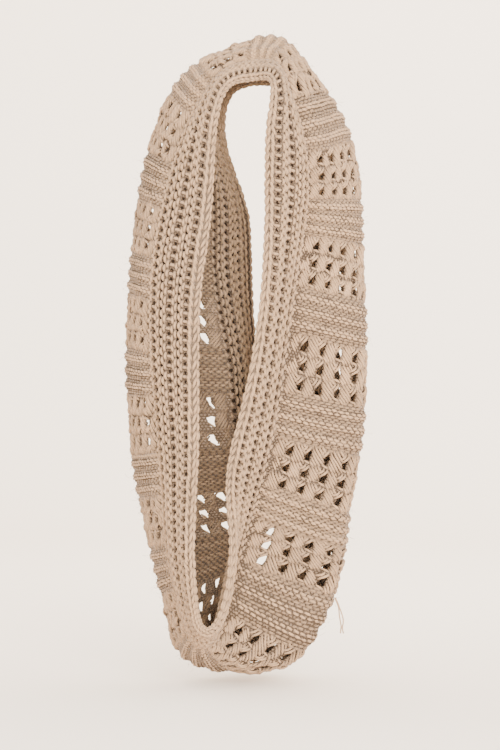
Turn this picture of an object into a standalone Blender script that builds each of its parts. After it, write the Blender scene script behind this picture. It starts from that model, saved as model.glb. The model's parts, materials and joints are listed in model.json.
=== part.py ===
"""Infinity scarf, hanging as it is worn: one knitted band joined into a loop.

The band is laid out on a flat chart. `at` counts pattern repeats round the loop,
from the top over the right side, the bottom and the left side, and `across` is
the distance in mm from the band's centre line, minus towards the front edge.
SECTIONS places that chart in space, and every piece is lofted from it.
"""

import math
from collections import namedtuple

import bmesh
import bpy
import numpy as np

MM = 0.001

# ---- driving dimensions, mm ----
REPEATS = 14                # welt and lace repeats round the loop
REPEAT_LENGTH = 103.5       # one repeat along the band's centre line
CENTRE_HALF = 90.0          # half the width of the welt and lace centre
BORDER_WIDTH = 64.0         # each ribbed border, selvedge included
HALF_WIDTH = CENTRE_HALF + BORDER_WIDTH
WALL = 2.8                  # the cloth between its raised forms
PIECE_GAP = 0.3             # left between neighbouring pieces

WELT_RIDGES = 3             # rolls in each welt
WELT_SHARE = 0.40           # of a repeat
WELT_RISE = 4.2             # crest of a roll over the wall
LACE_ROWS = 3               # eyelets along a repeat
LACE_ROW_PITCH = 0.169      # of a repeat
EYELET_COLUMNS = 7
EYELET_PITCH = 17.5
EYELET_WIDTH = 5.0
EYELET_LENGTH = 8.2
EYELET_LEAN = 1.8           # each end of an eyelet stands this far off its middle
LEAF_RISE = 1.5             # of the bar's edge that overlaps the next eyelet
RIB_PITCH = 22.0            # knit columns of the border
RIB_START = 5.5             # from the seam to the first valley
RIB_RISE = 1.9
CHAIN_INSET = 7.0           # from the selvedge to its chain of edge stitches

FOLD_REACH = 11.0           # half width of the valley between centre and border
GATHER_WAVE = 58.0          # length of a gather across the band
ROLL_WIDTH = 10.0           # of the rolled selvedge
SEAM_AT = 9.2               # the joining seam, above the tenth welt
STRETCHES = {               # the band in simple pieces, each parted from the next below a welt
    "right": (2.2, 5.2),
    "bottom": (5.2, SEAM_AT),
    "left": (SEAM_AT, 12.2),
    "top": (12.2, 2.2 + REPEATS),
}

FINE_STEPS = 81             # points of a half section as it is worked out
CENTRE_STEPS = 45           # and as it is kept, at even steps along the cloth
BORDER_STEPS = 37

TAIL_DIAMETER = 2.0
TAIL_ROUTE = (              # x, y, z of the loose yarn end, from the cloth down
    (87.3, 4.7, -564.9), (88.0, 4.9, -566.6), (89.0, 5.2, -568.9), (90.2, 5.4, -571.8),
    (91.3, 5.5, -575.2), (92.3, 5.5, -579.1), (93.2, 5.4, -583.2), (94.0, 5.3, -587.2),
    (94.3, 5.2, -590.9), (94.1, 5.2, -594.6), (94.0, 5.2, -598.1), (94.3, 5.2, -601.2),
)

YARN_COLOR = (0.62, 0.49, 0.38, 1.0)
YARN_ROUGHNESS = 0.92

# Each row is one section across the band's inner face: mid is the centre line, seam is
# where the front border starts and back_seam the back one, front and back are the selvedges.
# The folds are the depth of the valleys between centre and borders, gather is the
# height of the gathers across the band, roll the height of the rolled selvedge. mm.
Section = namedtuple(
    "Section",
    "at mid_x mid_y mid_z seam_x seam_y seam_z front_x front_y front_z "
    "back_seam_x back_seam_y back_seam_z back_x back_y back_z front_fold back_fold gather roll",
)
SECTIONS = [
    Section(0.0, 23, 0, 5, 17, -32, -15, 16, -60, -41, 14, 38, -11, 2, 54, -31, 6, 5, 3, 4),
    Section(0.5, 57, 0, -22, 43, -45, -30, 38, -76, -47, 42, 43, -31, 24, 62, -42, 6, 5, 2, 5),
    Section(1.0, 92, 0, -76, 65, -56, -89, 38, -90, -85, 65, 56, -83, 30, 80, -92, 8, 5, 1, 6),
    Section(2.0, 112, 0, -182, 69, -56, -179, 35, -92, -171, 73, 66, -178, 24, 94, -172, 8, 4, 0, 6),
    Section(3.0, 116, 0, -288, 53, -50, -271, 28, -86, -265, 73, 67, -279, 18, 96, -268, 7, 4, 0, 4),
    Section(4.0, 113, 0, -395, 35, -42, -377, 8, -78, -364, 70, 68, -382, 15, 97, -366, 6, 4, 0, 3),
    Section(5.0, 97, 0, -496, 13, -38, -464, -10, -72, -449, 60, 69, -478, 14, 98, -456, 5, 4, 0, 3),
    Section(6.0, 73, 0, -586, -10, -42, -548, -4, -96, -537, 47, 69, -564, 14, 98, -535, 4, 4, 0, 2),
    Section(6.25, 53, 0, -620, -16, -50, -578, -8, -106, -564, 34, 69, -594, 9, 98, -562, 4, 4, 0, 2),
    Section(6.5, 27, 0, -636, -22, -60, -600, -15, -111, -581, 16, 69, -610, 2, 98, -578, 3, 4, 0, 2),
    Section(7.0, -53, 3, -633, -42, -70, -606, -28, -112, -583, -37, 69, -608, -17, 98, -577, 2, 4, 0, 2),
    Section(7.5, -83, 10, -595, -57, -69, -575, -34, -110, -560, -38, 52, -568, -20, 97, -550, 2, 4, 0, 2),
    Section(8.0, -98, 17, -539, -69, -66, -529, -38, -108, -519, -14, 34, -518, -18, 96, -512, 2, 4, 0, 3),
    Section(9.0, -120, 17, -443, -79, -62, -437, -36, -100, -429, -18, 33, -434, -12, 94, -428, 2, 4, 0, 3),
    Section(10.0, -129, 17, -332, -88, -60, -337, -36, -94, -341, -26, 30, -333, -10, 90, -334, 2, 4, 0, 3),
    Section(11.0, -125, 17, -231, -89, -60, -241, -34, -90, -254, -42, 26, -234, -14, 84, -238, 2, 4, 0, 3),
    Section(12.0, -112, 15, -131, -74, -58, -149, -25, -86, -168, -45, 27, -141, -20, 78, -158, 3, 4, 0, 4),
    Section(13.0, -68, 7, -31, -43, -50, -56, -20, -78, -75, -54, 42, -53, -40, 60, -80, 5, 5, 2, 4),
    Section(13.5, -27, 2, -8, -17, -40, -24, -9, -66, -47, -28, 40, -22, -30, 57, -40, 6, 5, 3, 4),
]


def closed_spline(knots, values, period):
    """Smooth curve that passes through values at knots and repeats after period."""
    count = len(knots)
    step = np.diff(np.append(knots, knots[0] + period))
    rise = (np.roll(values, -1) - values) / step
    system = np.zeros((count, count))
    for i in range(count):
        before = step[i - 1]
        system[i, i - 1] += before
        system[i, i] += 2.0 * (before + step[i])
        system[i, (i + 1) % count] += step[i]
    bend = np.linalg.solve(system, 6.0 * (rise - np.roll(rise, 1)))

    def value(at):
        at = np.mod(np.asarray(at, dtype=float) - knots[0], period) + knots[0]
        i = np.clip(np.searchsorted(knots, at, side="right") - 1, 0, count - 1)
        past, width = at - knots[i], step[i]
        low, high = bend[i], bend[(i + 1) % count]
        slope = rise[i] - width * (2.0 * low + high) / 6.0
        return values[i] + past * (slope + past * (low / 2.0 + past * (high - low) / (6.0 * width)))

    return value


def section_curves():
    """One closed spline for each column of SECTIONS."""
    table = np.array(SECTIONS, dtype=float)
    knots = table[:, 0]
    return {
        name: closed_spline(knots, table[:, column], REPEATS)
        for column, name in enumerate(Section._fields)
        if column
    }


CURVES = section_curves()


def eased(first, last, first_slope, last_slope, share):
    """Cubic from first to last with the given slopes, at each share of the way."""
    t = share[:, None]
    return (
        (1.0 + 2.0 * t) * (1.0 - t) ** 2 * first
        + t * (1.0 - t) ** 2 * first_slope
        + t * t * (3.0 - 2.0 * t) * last
        - t * t * (1.0 - t) * last_slope
    )


def along_cloth(points, count):
    """The same line through points, as count points at even steps along it."""
    length = np.append(0.0, np.cumsum(np.linalg.norm(np.diff(points, axis=0), axis=1)))
    even = np.linspace(0.0, length[-1], count)
    return np.stack([np.interp(even, length, points[:, axis]) for axis in range(3)], axis=1)


def half_section(at, side):
    """Points, mm, from the centre line to a selvedge: CENTRE_STEPS, then BORDER_STEPS.

    side is -1 for the front half and +1 for the back half.
    """
    row = {name: float(curve(at)) for name, curve in CURVES.items()}
    edge = "front" if side < 0 else "back"
    seam_name = "seam" if side < 0 else "back_seam"
    middle, seam, selvedge = (
        np.array([row[f"{name}_{axis}"] for axis in "xyz"]) for name in ("mid", seam_name, edge)
    )
    depth = np.array([0.0, float(side), 0.0])

    span = selvedge - middle
    through = span / np.linalg.norm(span)
    centre_chord = np.linalg.norm(seam - middle)
    border_chord = np.linalg.norm(selvedge - seam)
    share = np.linspace(0.0, 1.0, FINE_STEPS)
    centre = eased(middle, seam, depth * centre_chord, through * centre_chord, share)
    border = eased(seam, selvedge, through * border_chord, selvedge - seam, share)
    points = np.concatenate([centre, border[1:]])
    run = np.concatenate([share * CENTRE_HALF, CENTRE_HALF + share[1:] * BORDER_WIDTH])

    length = np.append(0.0, np.cumsum(np.linalg.norm(np.diff(points, axis=0), axis=1)))
    past_seam = (length - length[FINE_STEPS - 1]) / FOLD_REACH
    fold = row[f"{edge}_fold"] * np.exp(-(past_seam**2))
    wave = np.sin(math.pi * run / HALF_WIDTH) * np.sin(2.0 * math.pi * run / GATHER_WAVE)
    past_roll = (run - (HALF_WIDTH - ROLL_WIDTH)) / ROLL_WIDTH
    roll = np.exp(-((past_roll / 0.7) ** 2)) - 1.2 * np.clip(past_roll, 0.0, 1.0) ** 2
    lift = row["gather"] * wave - fold + row["roll"] * roll * (run > CENTRE_HALF + 8.0)

    ahead = np.gradient(points, axis=0)
    ahead /= np.linalg.norm(ahead, axis=1)[:, None]
    flat = np.array([span[0], 0.0, span[2]])
    inward = flat / np.linalg.norm(flat)
    lean_in, lean_out = ahead @ inward, ahead @ depth
    size = np.hypot(lean_in, lean_out)
    points = points + np.outer(-lift * lean_out / size, inward) + np.outer(lift * lean_in / size, depth)
    centre = along_cloth(points[:FINE_STEPS], CENTRE_STEPS)
    border = along_cloth(points[FINE_STEPS - 1 :], BORDER_STEPS)
    return np.concatenate([centre, border[1:]])


def across_section(at):
    """Function from across, mm, to a point of the band's inner face at `at`."""
    front = half_section(at, -1)
    back = half_section(at, 1)
    points = np.concatenate([front[:0:-1], back])
    centre = np.linspace(0.0, CENTRE_HALF, CENTRE_STEPS)
    border = np.linspace(CENTRE_HALF, HALF_WIDTH, BORDER_STEPS)
    half = np.concatenate([centre, border[1:]])
    scale = np.concatenate([-half[:0:-1], half])

    def point(across):
        return np.array([np.interp(across, scale, points[:, axis]) for axis in range(3)])

    return point


class Cloth:
    """The band's inner face as a function of the chart."""

    STEP_AT = 0.02
    STEP_ACROSS = 2.5

    def __init__(self):
        self.sections = {}

    def point(self, at, across):
        """A point of the inner face, mm."""
        key = round(at, 6)
        if key not in self.sections:
            self.sections[key] = across_section(key)
        return self.sections[key](across)

    def frame(self, at, across):
        """A point and its unit directions along the loop, across the band and out."""
        low = max(across - self.STEP_ACROSS, -HALF_WIDTH)
        high = min(across + self.STEP_ACROSS, HALF_WIDTH)
        along = self.point(at + self.STEP_AT, across) - self.point(at - self.STEP_AT, across)
        over = self.point(at, high) - self.point(at, low)
        out = np.cross(along, over)
        along, over, out = (v / np.linalg.norm(v) for v in (along, over, out))
        return self.point(at, across), along, over, out


# ---- the chart ----


def repeat_lines():
    """Chart rows of one repeat, as (offset, kind), from the start of its welt."""
    lines = []
    half = WELT_SHARE / 2.0
    roll = WELT_SHARE / WELT_RIDGES
    for ridge in range(WELT_RIDGES):
        start = -half + ridge * roll
        lines.append((start, "valley"))
        lines.append((start + roll / 2.0, "crest"))
    lines.append((half, "valley"))
    reach = EYELET_LENGTH / REPEAT_LENGTH / 2.0
    for row in range(LACE_ROWS):
        centre = 0.5 + (row - (LACE_ROWS - 1) / 2.0) * LACE_ROW_PITCH
        lines.append((centre - reach, "eyelet_start"))
        lines.append((centre + reach, "eyelet_end"))
    return lines


BORDER_ROWS = ("valley_0", "crest_1", "valley_3", "eyelet_start_1")
WELT_ROWS = ("crest_0", "valley_1", "crest_1", "valley_2", "crest_2")
WELT_COLUMNS = (0, 1, 3, 6, 9, 12, 14, 15)   # the centre's columns in those rows


def chart_rows(start, end):
    """Every chart row from start to end, as (at, inset, name).

    inset keeps the first and the last row half a gap inside the stretch.
    """
    rows = []
    for repeat in range(-1, 2 * REPEATS):
        seen = {}
        for offset, kind in repeat_lines():
            number = seen.setdefault(kind, 0)
            seen[kind] += 1
            if start + 1e-6 < repeat + offset < end - 1e-6:
                rows.append((repeat + offset, 0.0, f"{kind}_{number}"))
    half_gap = PIECE_GAP / 2.0
    return [(start, half_gap, "valley_0")] + rows + [(end, -half_gap, "valley_0")]


def centre_columns():
    """Columns of the centre, as (across, inset, kind): both sides of each eyelet."""
    columns = []
    half_gap = PIECE_GAP / 2.0
    for number in range(EYELET_COLUMNS):
        middle = (number - (EYELET_COLUMNS - 1) / 2.0) * EYELET_PITCH
        columns.append((middle - EYELET_WIDTH / 2.0, 0.0, "low"))
        columns.append((middle + EYELET_WIDTH / 2.0, 0.0, "high"))
    edges = [(-CENTRE_HALF, half_gap, "edge"), (CENTRE_HALF, -half_gap, "edge")]
    return edges[:1] + columns + edges[1:]


def border_columns(side):
    """Columns of a border, as (across, inset, kind), from the centre outwards."""
    columns = [(side * CENTRE_HALF, side * PIECE_GAP / 2.0, "edge")]
    half_pitch = RIB_PITCH / 2.0
    for number in range(int((BORDER_WIDTH - CHAIN_INSET - RIB_START) / half_pitch) + 1):
        across = CENTRE_HALF + RIB_START + number * half_pitch
        columns.append((side * across, 0.0, "rib" if number % 2 else "edge"))
    chain = (side * (HALF_WIDTH - CHAIN_INSET), 0.0, "rib")
    return columns + [chain, (side * HALF_WIDTH, 0.0, "edge")]


def centre_rise(row_name, column_kind):
    """How far the outer face of the centre stands over the wall."""
    if row_name.startswith("crest") and column_kind != "edge":
        return WELT_RISE
    if row_name.startswith("eyelet") and column_kind == "high":
        return LEAF_RISE
    return 0.0


def lean(row_name, column_kind):
    """Sideways shift of an eyelet's corner."""
    if column_kind == "edge" or not row_name.startswith("eyelet"):
        return 0.0
    return EYELET_LEAN if row_name.startswith("eyelet_start") else -EYELET_LEAN


# ---- lofted walls ----


class Wall:
    """A closed wall, lofted as an inner and an outer face over the same chart."""

    def __init__(self, cloth):
        self.cloth = cloth
        self.mesh = bmesh.new()
        self.charted = []
        self.inner = []
        self.outer = []
        self.faces = []

    def point(self, at, across, rise, inset_at=0.0, inset_across=0.0):
        """Adds one chart point to both faces and returns its number."""
        place, along, over, out = self.cloth.frame(at, across)
        place = place + along * inset_at + over * inset_across
        self.charted.append((at, across))
        self.inner.append(self.mesh.verts.new(place * MM))
        self.outer.append(self.mesh.verts.new((place + out * (WALL + rise)) * MM))
        return len(self.inner) - 1

    def add_rim(self, a, b):
        """Two triangles between both faces, split alike in two pieces that meet."""
        low, high = sorted((a, b), key=self.charted.__getitem__)
        ring = [self.outer[b], self.outer[a], self.inner[a], self.inner[b]]
        for skipped in (self.outer[high], self.inner[low]):
            self.mesh.faces.new([vert for vert in ring if vert is not skipped])

    def close(self):
        """Makes both faces, then a rim along every open edge."""
        edges = set()
        for corners in self.faces:
            self.mesh.faces.new([self.outer[i] for i in corners])
            self.mesh.faces.new([self.inner[i] for i in reversed(corners)])
            edges.update(zip(corners, corners[1:] + corners[:1]))
        for a, b in edges:
            if (b, a) not in edges:
                self.add_rim(a, b)
        loose = [vert for vert in self.mesh.verts if not vert.link_faces]
        bmesh.ops.delete(self.mesh, geom=loose, context="VERTS")
        bmesh.ops.recalc_face_normals(self.mesh, faces=self.mesh.faces)
        return self.mesh


def strip(first, last, skip=()):
    """Faces between two chart lines, each a dict from place on the line to point.

    Quads where both lines have the same two places, and else triangles, each with
    the shorter of its two possible long sides. skip lists places left open.
    """
    near, far = sorted(first), sorted(last)
    faces = []
    i = j = 0
    while i + 1 < len(near) or j + 1 < len(far):
        next_near = near[i + 1] if i + 1 < len(near) else math.inf
        next_far = far[j + 1] if j + 1 < len(far) else math.inf
        if near[i] == far[j] and next_near == next_far:
            corners = [first[near[i]], first[next_near], last[next_far], last[far[j]]]
            if near[i] not in skip:
                faces.append(corners)
            i, j = i + 1, j + 1
        elif next_near - far[j] <= next_far - near[i]:
            faces.append([first[near[i]], first[next_near], last[far[j]]])
            i += 1
        else:
            faces.append([first[near[i]], last[next_far], last[far[j]]])
            j += 1
    return faces


def centre_piece(cloth, start, end):
    """Welts and lace of one stretch, its eyelets cut through."""
    wall = Wall(cloth)
    columns = centre_columns()
    lines = []
    for at, inset_at, name in chart_rows(start, end):
        used = WELT_COLUMNS if name in WELT_ROWS else range(len(columns))
        line = {}
        for place in used:
            across, inset, kind = columns[place]
            shifted = across + lean(name, kind)
            line[place] = wall.point(at, shifted, centre_rise(name, kind), inset_at, inset)
        lines.append((name, line))
    eyelets = [place for place, column in enumerate(columns) if column[2] == "low"]
    for (name, first), (_, last) in zip(lines, lines[1:]):
        wall.faces += strip(first, last, eyelets if name.startswith("eyelet_start") else ())
    return wall.close()


def border_piece(cloth, start, end, side):
    """Ribbed border of one stretch: every chart row at the seam, few rows beyond."""
    wall = Wall(cloth)
    rows = chart_rows(start, end)
    kept = [i for i, (_, _, name) in enumerate(rows) if name in BORDER_ROWS]
    lines = []
    for place, (across, inset, kind) in enumerate(border_columns(side)):
        rise = RIB_RISE if kind == "rib" else 0.0
        used = kept if place else range(len(rows))
        lines.append({i: wall.point(rows[i][0], across, rise, rows[i][1], inset) for i in used})
    for first, last in zip(lines, lines[1:]):
        wall.faces += strip(first, last)
    return wall.close()


# ---- objects ----


def yarn_material(name, shade):
    """Knitting yarn: matt, the given shade of the scarf's colour."""
    material = bpy.data.materials.new(name)
    material.use_nodes = True
    shader = material.node_tree.nodes["Principled BSDF"]
    shader.inputs["Base Color"].default_value = [c * shade for c in YARN_COLOR[:3]] + [1.0]
    shader.inputs["Roughness"].default_value = YARN_ROUGHNESS
    shader.inputs["Metallic"].default_value = 0.0
    return material


def add_object(name, data, material, collection):
    """Links data as one named object with its material."""
    item = bpy.data.objects.new(name, data)
    data.materials.append(material)
    collection.objects.link(item)
    return item


def add_wall(name, built, material, collection):
    """Turns a finished bmesh into an object."""
    mesh = bpy.data.meshes.new(name)
    built.to_mesh(mesh)
    built.free()
    mesh.shade_smooth()
    return add_object(name, mesh, material, collection)


def add_tail(collection, material):
    """The loose yarn end, as a round tube along TAIL_ROUTE."""
    curve = bpy.data.curves.new("yarn_tail", "CURVE")
    curve.dimensions = "3D"
    curve.bevel_depth = TAIL_DIAMETER / 2.0 * MM
    curve.bevel_resolution = 2
    curve.use_fill_caps = True
    line = curve.splines.new("POLY")
    line.points.add(len(TAIL_ROUTE) - 1)
    for point, place in zip(line.points, TAIL_ROUTE):
        point.co = (*(c * MM for c in place), 1.0)
    return add_object("yarn_tail", curve, material, collection)


def clear_scene():
    for item in list(bpy.data.objects):
        bpy.data.objects.remove(item, do_unlink=True)


def main():
    clear_scene()
    collection = bpy.data.collections.new("infinity_scarf")
    bpy.context.scene.collection.children.link(collection)
    cloth = Cloth()
    centre_yarn = yarn_material("centre_yarn", 1.0)
    border_yarn = yarn_material("border_yarn", 0.95)
    for stretch, (start, end) in STRETCHES.items():
        centre = centre_piece(cloth, start, end)
        add_wall(f"centre_{stretch}", centre, centre_yarn, collection)
        for edge, side in (("front", -1), ("back", 1)):
            border = border_piece(cloth, start, end, side)
            add_wall(f"{edge}_border_{stretch}", border, border_yarn, collection)
    add_tail(collection, centre_yarn)


main()
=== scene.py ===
"""Infinity scarf: the looks of one knitted band that hangs as a closed loop.

The band is laid out on a flat chart, in mm: `along` runs round the loop from its top
over the right side, the bottom and the left side, and `across` runs from the front
selvedge to the back one. `at` is a place along, counted in repeats of the pattern.
Stitches are laid out on that chart, carried onto the hanging cloth and given the
thickness of yarn by Geometry Nodes.
"""

from __future__ import annotations

import json
import logging
import math
from collections import namedtuple
from dataclasses import dataclass, field
from enum import Enum, auto
from functools import reduce
from typing import Callable, Sequence

import bpy
import numpy as np
from bpy.types import Material, Mesh, Node, NodeSocket, NodeTree, Object
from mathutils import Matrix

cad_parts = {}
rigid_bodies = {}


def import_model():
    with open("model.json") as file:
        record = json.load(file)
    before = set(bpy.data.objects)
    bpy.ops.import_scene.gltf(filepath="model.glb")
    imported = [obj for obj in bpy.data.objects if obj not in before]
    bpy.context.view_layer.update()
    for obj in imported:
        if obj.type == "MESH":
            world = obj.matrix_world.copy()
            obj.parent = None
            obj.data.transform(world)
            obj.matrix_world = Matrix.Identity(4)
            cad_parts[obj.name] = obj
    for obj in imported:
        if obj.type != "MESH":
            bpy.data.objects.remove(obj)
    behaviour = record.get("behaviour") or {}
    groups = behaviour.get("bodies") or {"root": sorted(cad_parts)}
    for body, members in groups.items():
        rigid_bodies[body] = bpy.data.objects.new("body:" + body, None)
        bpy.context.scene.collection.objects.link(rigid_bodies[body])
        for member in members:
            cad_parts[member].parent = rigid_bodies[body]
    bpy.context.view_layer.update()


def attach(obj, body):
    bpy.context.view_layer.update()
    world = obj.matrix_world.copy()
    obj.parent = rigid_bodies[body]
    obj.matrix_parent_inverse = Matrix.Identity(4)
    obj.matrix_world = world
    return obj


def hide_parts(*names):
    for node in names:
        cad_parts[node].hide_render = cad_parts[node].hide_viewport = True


log = logging.getLogger("scarf")

MM = 0.001
CLOTH_NODES = tuple(
    f"{strip}_{stretch}"
    for strip in ("centre", "front_border", "back_border")
    for stretch in ("right", "bottom", "left", "top")
)

# Each row is one section across the band's inner face: mid is the centre line, seam is
# where the front border starts and back_seam the back one, front and back are the selvedges.
# The folds are the depth of the valleys between centre and borders, gather is the
# height of the gathers across the band, roll the height of the rolled selvedge. mm.
Section = namedtuple(
    "Section",
    "at mid_x mid_y mid_z seam_x seam_y seam_z front_x front_y front_z "
    "back_seam_x back_seam_y back_seam_z back_x back_y back_z front_fold back_fold gather roll",
)
SECTIONS = [
    Section(0.0, 23, 0, 5, 17, -32, -15, 16, -60, -41, 14, 38, -11, 2, 54, -31, 6, 5, 3, 4),
    Section(0.5, 57, 0, -22, 43, -45, -30, 38, -76, -47, 42, 43, -31, 24, 62, -42, 6, 5, 2, 5),
    Section(1.0, 92, 0, -76, 65, -56, -89, 38, -90, -85, 65, 56, -83, 30, 80, -92, 8, 5, 1, 6),
    Section(2.0, 112, 0, -182, 69, -56, -179, 35, -92, -171, 73, 66, -178, 24, 94, -172, 8, 4, 0, 6),
    Section(3.0, 116, 0, -288, 53, -50, -271, 28, -86, -265, 73, 67, -279, 18, 96, -268, 7, 4, 0, 4),
    Section(4.0, 113, 0, -395, 35, -42, -377, 8, -78, -364, 70, 68, -382, 15, 97, -366, 6, 4, 0, 3),
    Section(5.0, 97, 0, -496, 13, -38, -464, -10, -72, -449, 60, 69, -478, 14, 98, -456, 5, 4, 0, 3),
    Section(6.0, 73, 0, -586, -10, -42, -548, -4, -96, -537, 47, 69, -564, 14, 98, -535, 4, 4, 0, 2),
    Section(6.25, 53, 0, -620, -16, -50, -578, -8, -106, -564, 34, 69, -594, 9, 98, -562, 4, 4, 0, 2),
    Section(6.5, 27, 0, -636, -22, -60, -600, -15, -111, -581, 16, 69, -610, 2, 98, -578, 3, 4, 0, 2),
    Section(7.0, -53, 3, -633, -42, -70, -606, -28, -112, -583, -37, 69, -608, -17, 98, -577, 2, 4, 0, 2),
    Section(7.5, -83, 10, -595, -57, -69, -575, -34, -110, -560, -38, 52, -568, -20, 97, -550, 2, 4, 0, 2),
    Section(8.0, -98, 17, -539, -69, -66, -529, -38, -108, -519, -14, 34, -518, -18, 96, -512, 2, 4, 0, 3),
    Section(9.0, -120, 17, -443, -79, -62, -437, -36, -100, -429, -18, 33, -434, -12, 94, -428, 2, 4, 0, 3),
    Section(10.0, -129, 17, -332, -88, -60, -337, -36, -94, -341, -26, 30, -333, -10, 90, -334, 2, 4, 0, 3),
    Section(11.0, -125, 17, -231, -89, -60, -241, -34, -90, -254, -42, 26, -234, -14, 84, -238, 2, 4, 0, 3),
    Section(12.0, -112, 15, -131, -74, -58, -149, -25, -86, -168, -45, 27, -141, -20, 78, -158, 3, 4, 0, 4),
    Section(13.0, -68, 7, -31, -43, -50, -56, -20, -78, -75, -54, 42, -53, -40, 60, -80, 5, 5, 2, 4),
    Section(13.5, -27, 2, -8, -17, -40, -24, -9, -66, -47, -28, 40, -22, -30, 57, -40, 6, 5, 3, 4),
]


class Edge(Enum):
    """The two long edges of the band, by the sign of `across`."""

    FRONT = -1
    BACK = 1


@dataclass(frozen=True)
class Chart:
    """Flat layout of the band, mm, and where welts and lace lie on it."""

    repeats: int = 14
    repeat_length: float = 103.5
    centre_half: float = 90.0
    border_width: float = 64.0
    ridges: int = 3
    welt_share: float = 0.40
    welt_rise: float = 4.4
    ridge_power: float = 0.8
    ridge_fade: float = 20.0
    crest_flat: float = 0.6
    lace_rows: int = 3
    lace_row_pitch: float = 0.182
    eyelet_columns: int = 9
    eyelet_pitch: float = 17.5
    eyelet_width: float = 5.2
    eyelet_length: float = 11.0
    eyelet_lean: float = 1.6
    rib_pitch: float = 22.0
    rib_start: float = 5.5
    chain_inset: float = 7.0
    courses: int = 10
    join_at: float = 9.2
    part_at: float = 2.2
    spare_repeats: int = 1
    spare_width: float = 6.0

    @property
    def half_width(self) -> float:
        """From the centre line to a selvedge."""
        return self.centre_half + self.border_width

    @property
    def length(self) -> float:
        """Once round the loop."""
        return self.repeats * self.repeat_length

    def lace_row(self, number: int) -> float:
        """Middle of one row of eyelets, in repeats from the middle of the welt before it."""
        return 0.5 + (number - (self.lace_rows - 1) / 2.0) * self.lace_row_pitch

    def eyelet(self, number: float) -> float:
        """Middle of one column of eyelets, mm across."""
        return (number - (self.eyelet_columns - 1) / 2.0) * self.eyelet_pitch

    def fade(self, across: np.ndarray) -> np.ndarray:
        """Share of the ridges' height left at each place across: none at the seams."""
        past = np.clip((self.centre_half - np.abs(across)) / self.ridge_fade, 0.0, 1.0)
        return past * past * (3.0 - 2.0 * past)

    def rise(self, at: np.ndarray, across: np.ndarray) -> np.ndarray:
        """Height of the welts' ridges over the wall, flatter where the top draws the knit taut.

        Args:
            at: places round the loop, in repeats.
            across: places across the band, mm.

        Returns:
            The rise at each place, mm.
        """
        offset = np.mod(np.asarray(at, float) + 0.5, 1.0) - 0.5
        share = (offset + self.welt_share / 2.0) / self.welt_share
        inside = (share > 0.0) & (share < 1.0)
        ridge = np.sin(math.pi * np.mod(share * self.ridges, 1.0)) ** self.ridge_power
        half_round = self.repeats / 2.0
        from_top = np.mod(np.asarray(at, float) + half_round, self.repeats) - half_round
        taut = 1.0 - self.crest_flat * np.exp(-(from_top**2))
        return self.welt_rise * taut * np.where(inside, ridge, 0.0) * self.fade(across)


CHART = Chart()


# ---- meshes and objects ----


def linked(name: str, data: bpy.types.ID) -> Object:
    """Puts a mesh, camera or lamp into the scene.

    Args:
        name: the new object's name.
        data: what the object shows.

    Returns:
        The object, at the origin.
    """
    item = bpy.data.objects.new(name, data)
    bpy.context.scene.collection.objects.link(item)
    return item


def plain_copy(item: Object, name: str) -> Object:
    """Replaces an object by a plain mesh of what its modifiers make of it.

    Args:
        item: the object, which is removed.
        name: the new object's name.

    Returns:
        The new object, at the origin and without modifiers.
    """
    shown = item.evaluated_get(bpy.context.evaluated_depsgraph_get())
    mesh = bpy.data.meshes.new_from_object(shown)
    mesh.name = name
    item.modifiers.clear()
    bpy.data.objects.remove(item)
    return linked(name, mesh)


def add_attribute(mesh: Mesh, name: str, values: np.ndarray) -> None:
    """Stores one float or vector for each point of a mesh.

    Args:
        mesh: the mesh to store it on.
        name: the attribute's name.
        values: one number or one row of three for each point.
    """
    kind, slot = ("FLOAT_VECTOR", "vector") if values.ndim == 2 else ("FLOAT", "value")
    attribute = mesh.attributes.new(name, kind, "POINT")
    attribute.data.foreach_set(slot, np.ascontiguousarray(values, dtype=np.float32).ravel())


# ---- the hanging cloth ----


def closed_spline(knots: np.ndarray, values: np.ndarray, period: float) -> Callable:
    """Smooth curve that passes through values at knots and repeats after period.

    Args:
        knots: rising places, the first of a period first.
        values: the value at each knot.
        period: the length after which the curve repeats.

    Returns:
        A function from places to values.
    """
    count = len(knots)
    step = np.diff(np.append(knots, knots[0] + period))
    rise = (np.roll(values, -1) - values) / step
    system = np.zeros((count, count))
    for i in range(count):
        before = step[i - 1]
        system[i, i - 1] += before
        system[i, i] += 2.0 * (before + step[i])
        system[i, (i + 1) % count] += step[i]
    bend = np.linalg.solve(system, 6.0 * (rise - np.roll(rise, 1)))

    def value(at: float) -> np.ndarray:
        """The curve's value.

        Args:
            at: a place, or an array of places.

        Returns:
            The value at each place.
        """
        at = np.mod(np.asarray(at, dtype=float) - knots[0], period) + knots[0]
        i = np.clip(np.searchsorted(knots, at, side="right") - 1, 0, count - 1)
        past, width = at - knots[i], step[i]
        low, high = bend[i], bend[(i + 1) % count]
        slope = rise[i] - width * (2.0 * low + high) / 6.0
        return values[i] + past * (slope + past * (low / 2.0 + past * (high - low) / (6.0 * width)))

    return value


def eased(first: np.ndarray, last: np.ndarray, first_slope: np.ndarray, last_slope: np.ndarray,
          share: np.ndarray) -> np.ndarray:
    """Cubic curve between two points.

    Args:
        first: where it starts.
        last: where it ends.
        first_slope: its direction and speed at the start.
        last_slope: its direction and speed at the end.
        share: shares of the way.

    Returns:
        The point at each share.
    """
    t = share[:, None]
    return (
        (1.0 + 2.0 * t) * (1.0 - t) ** 2 * first
        + t * (1.0 - t) ** 2 * first_slope
        + t * t * (3.0 - 2.0 * t) * last
        - t * t * (1.0 - t) * last_slope
    )


def run_along(points: np.ndarray) -> np.ndarray:
    """Length of a line of points from its start to each of them."""
    return np.append(0.0, np.cumsum(np.linalg.norm(np.diff(points, axis=0), axis=1)))


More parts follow.
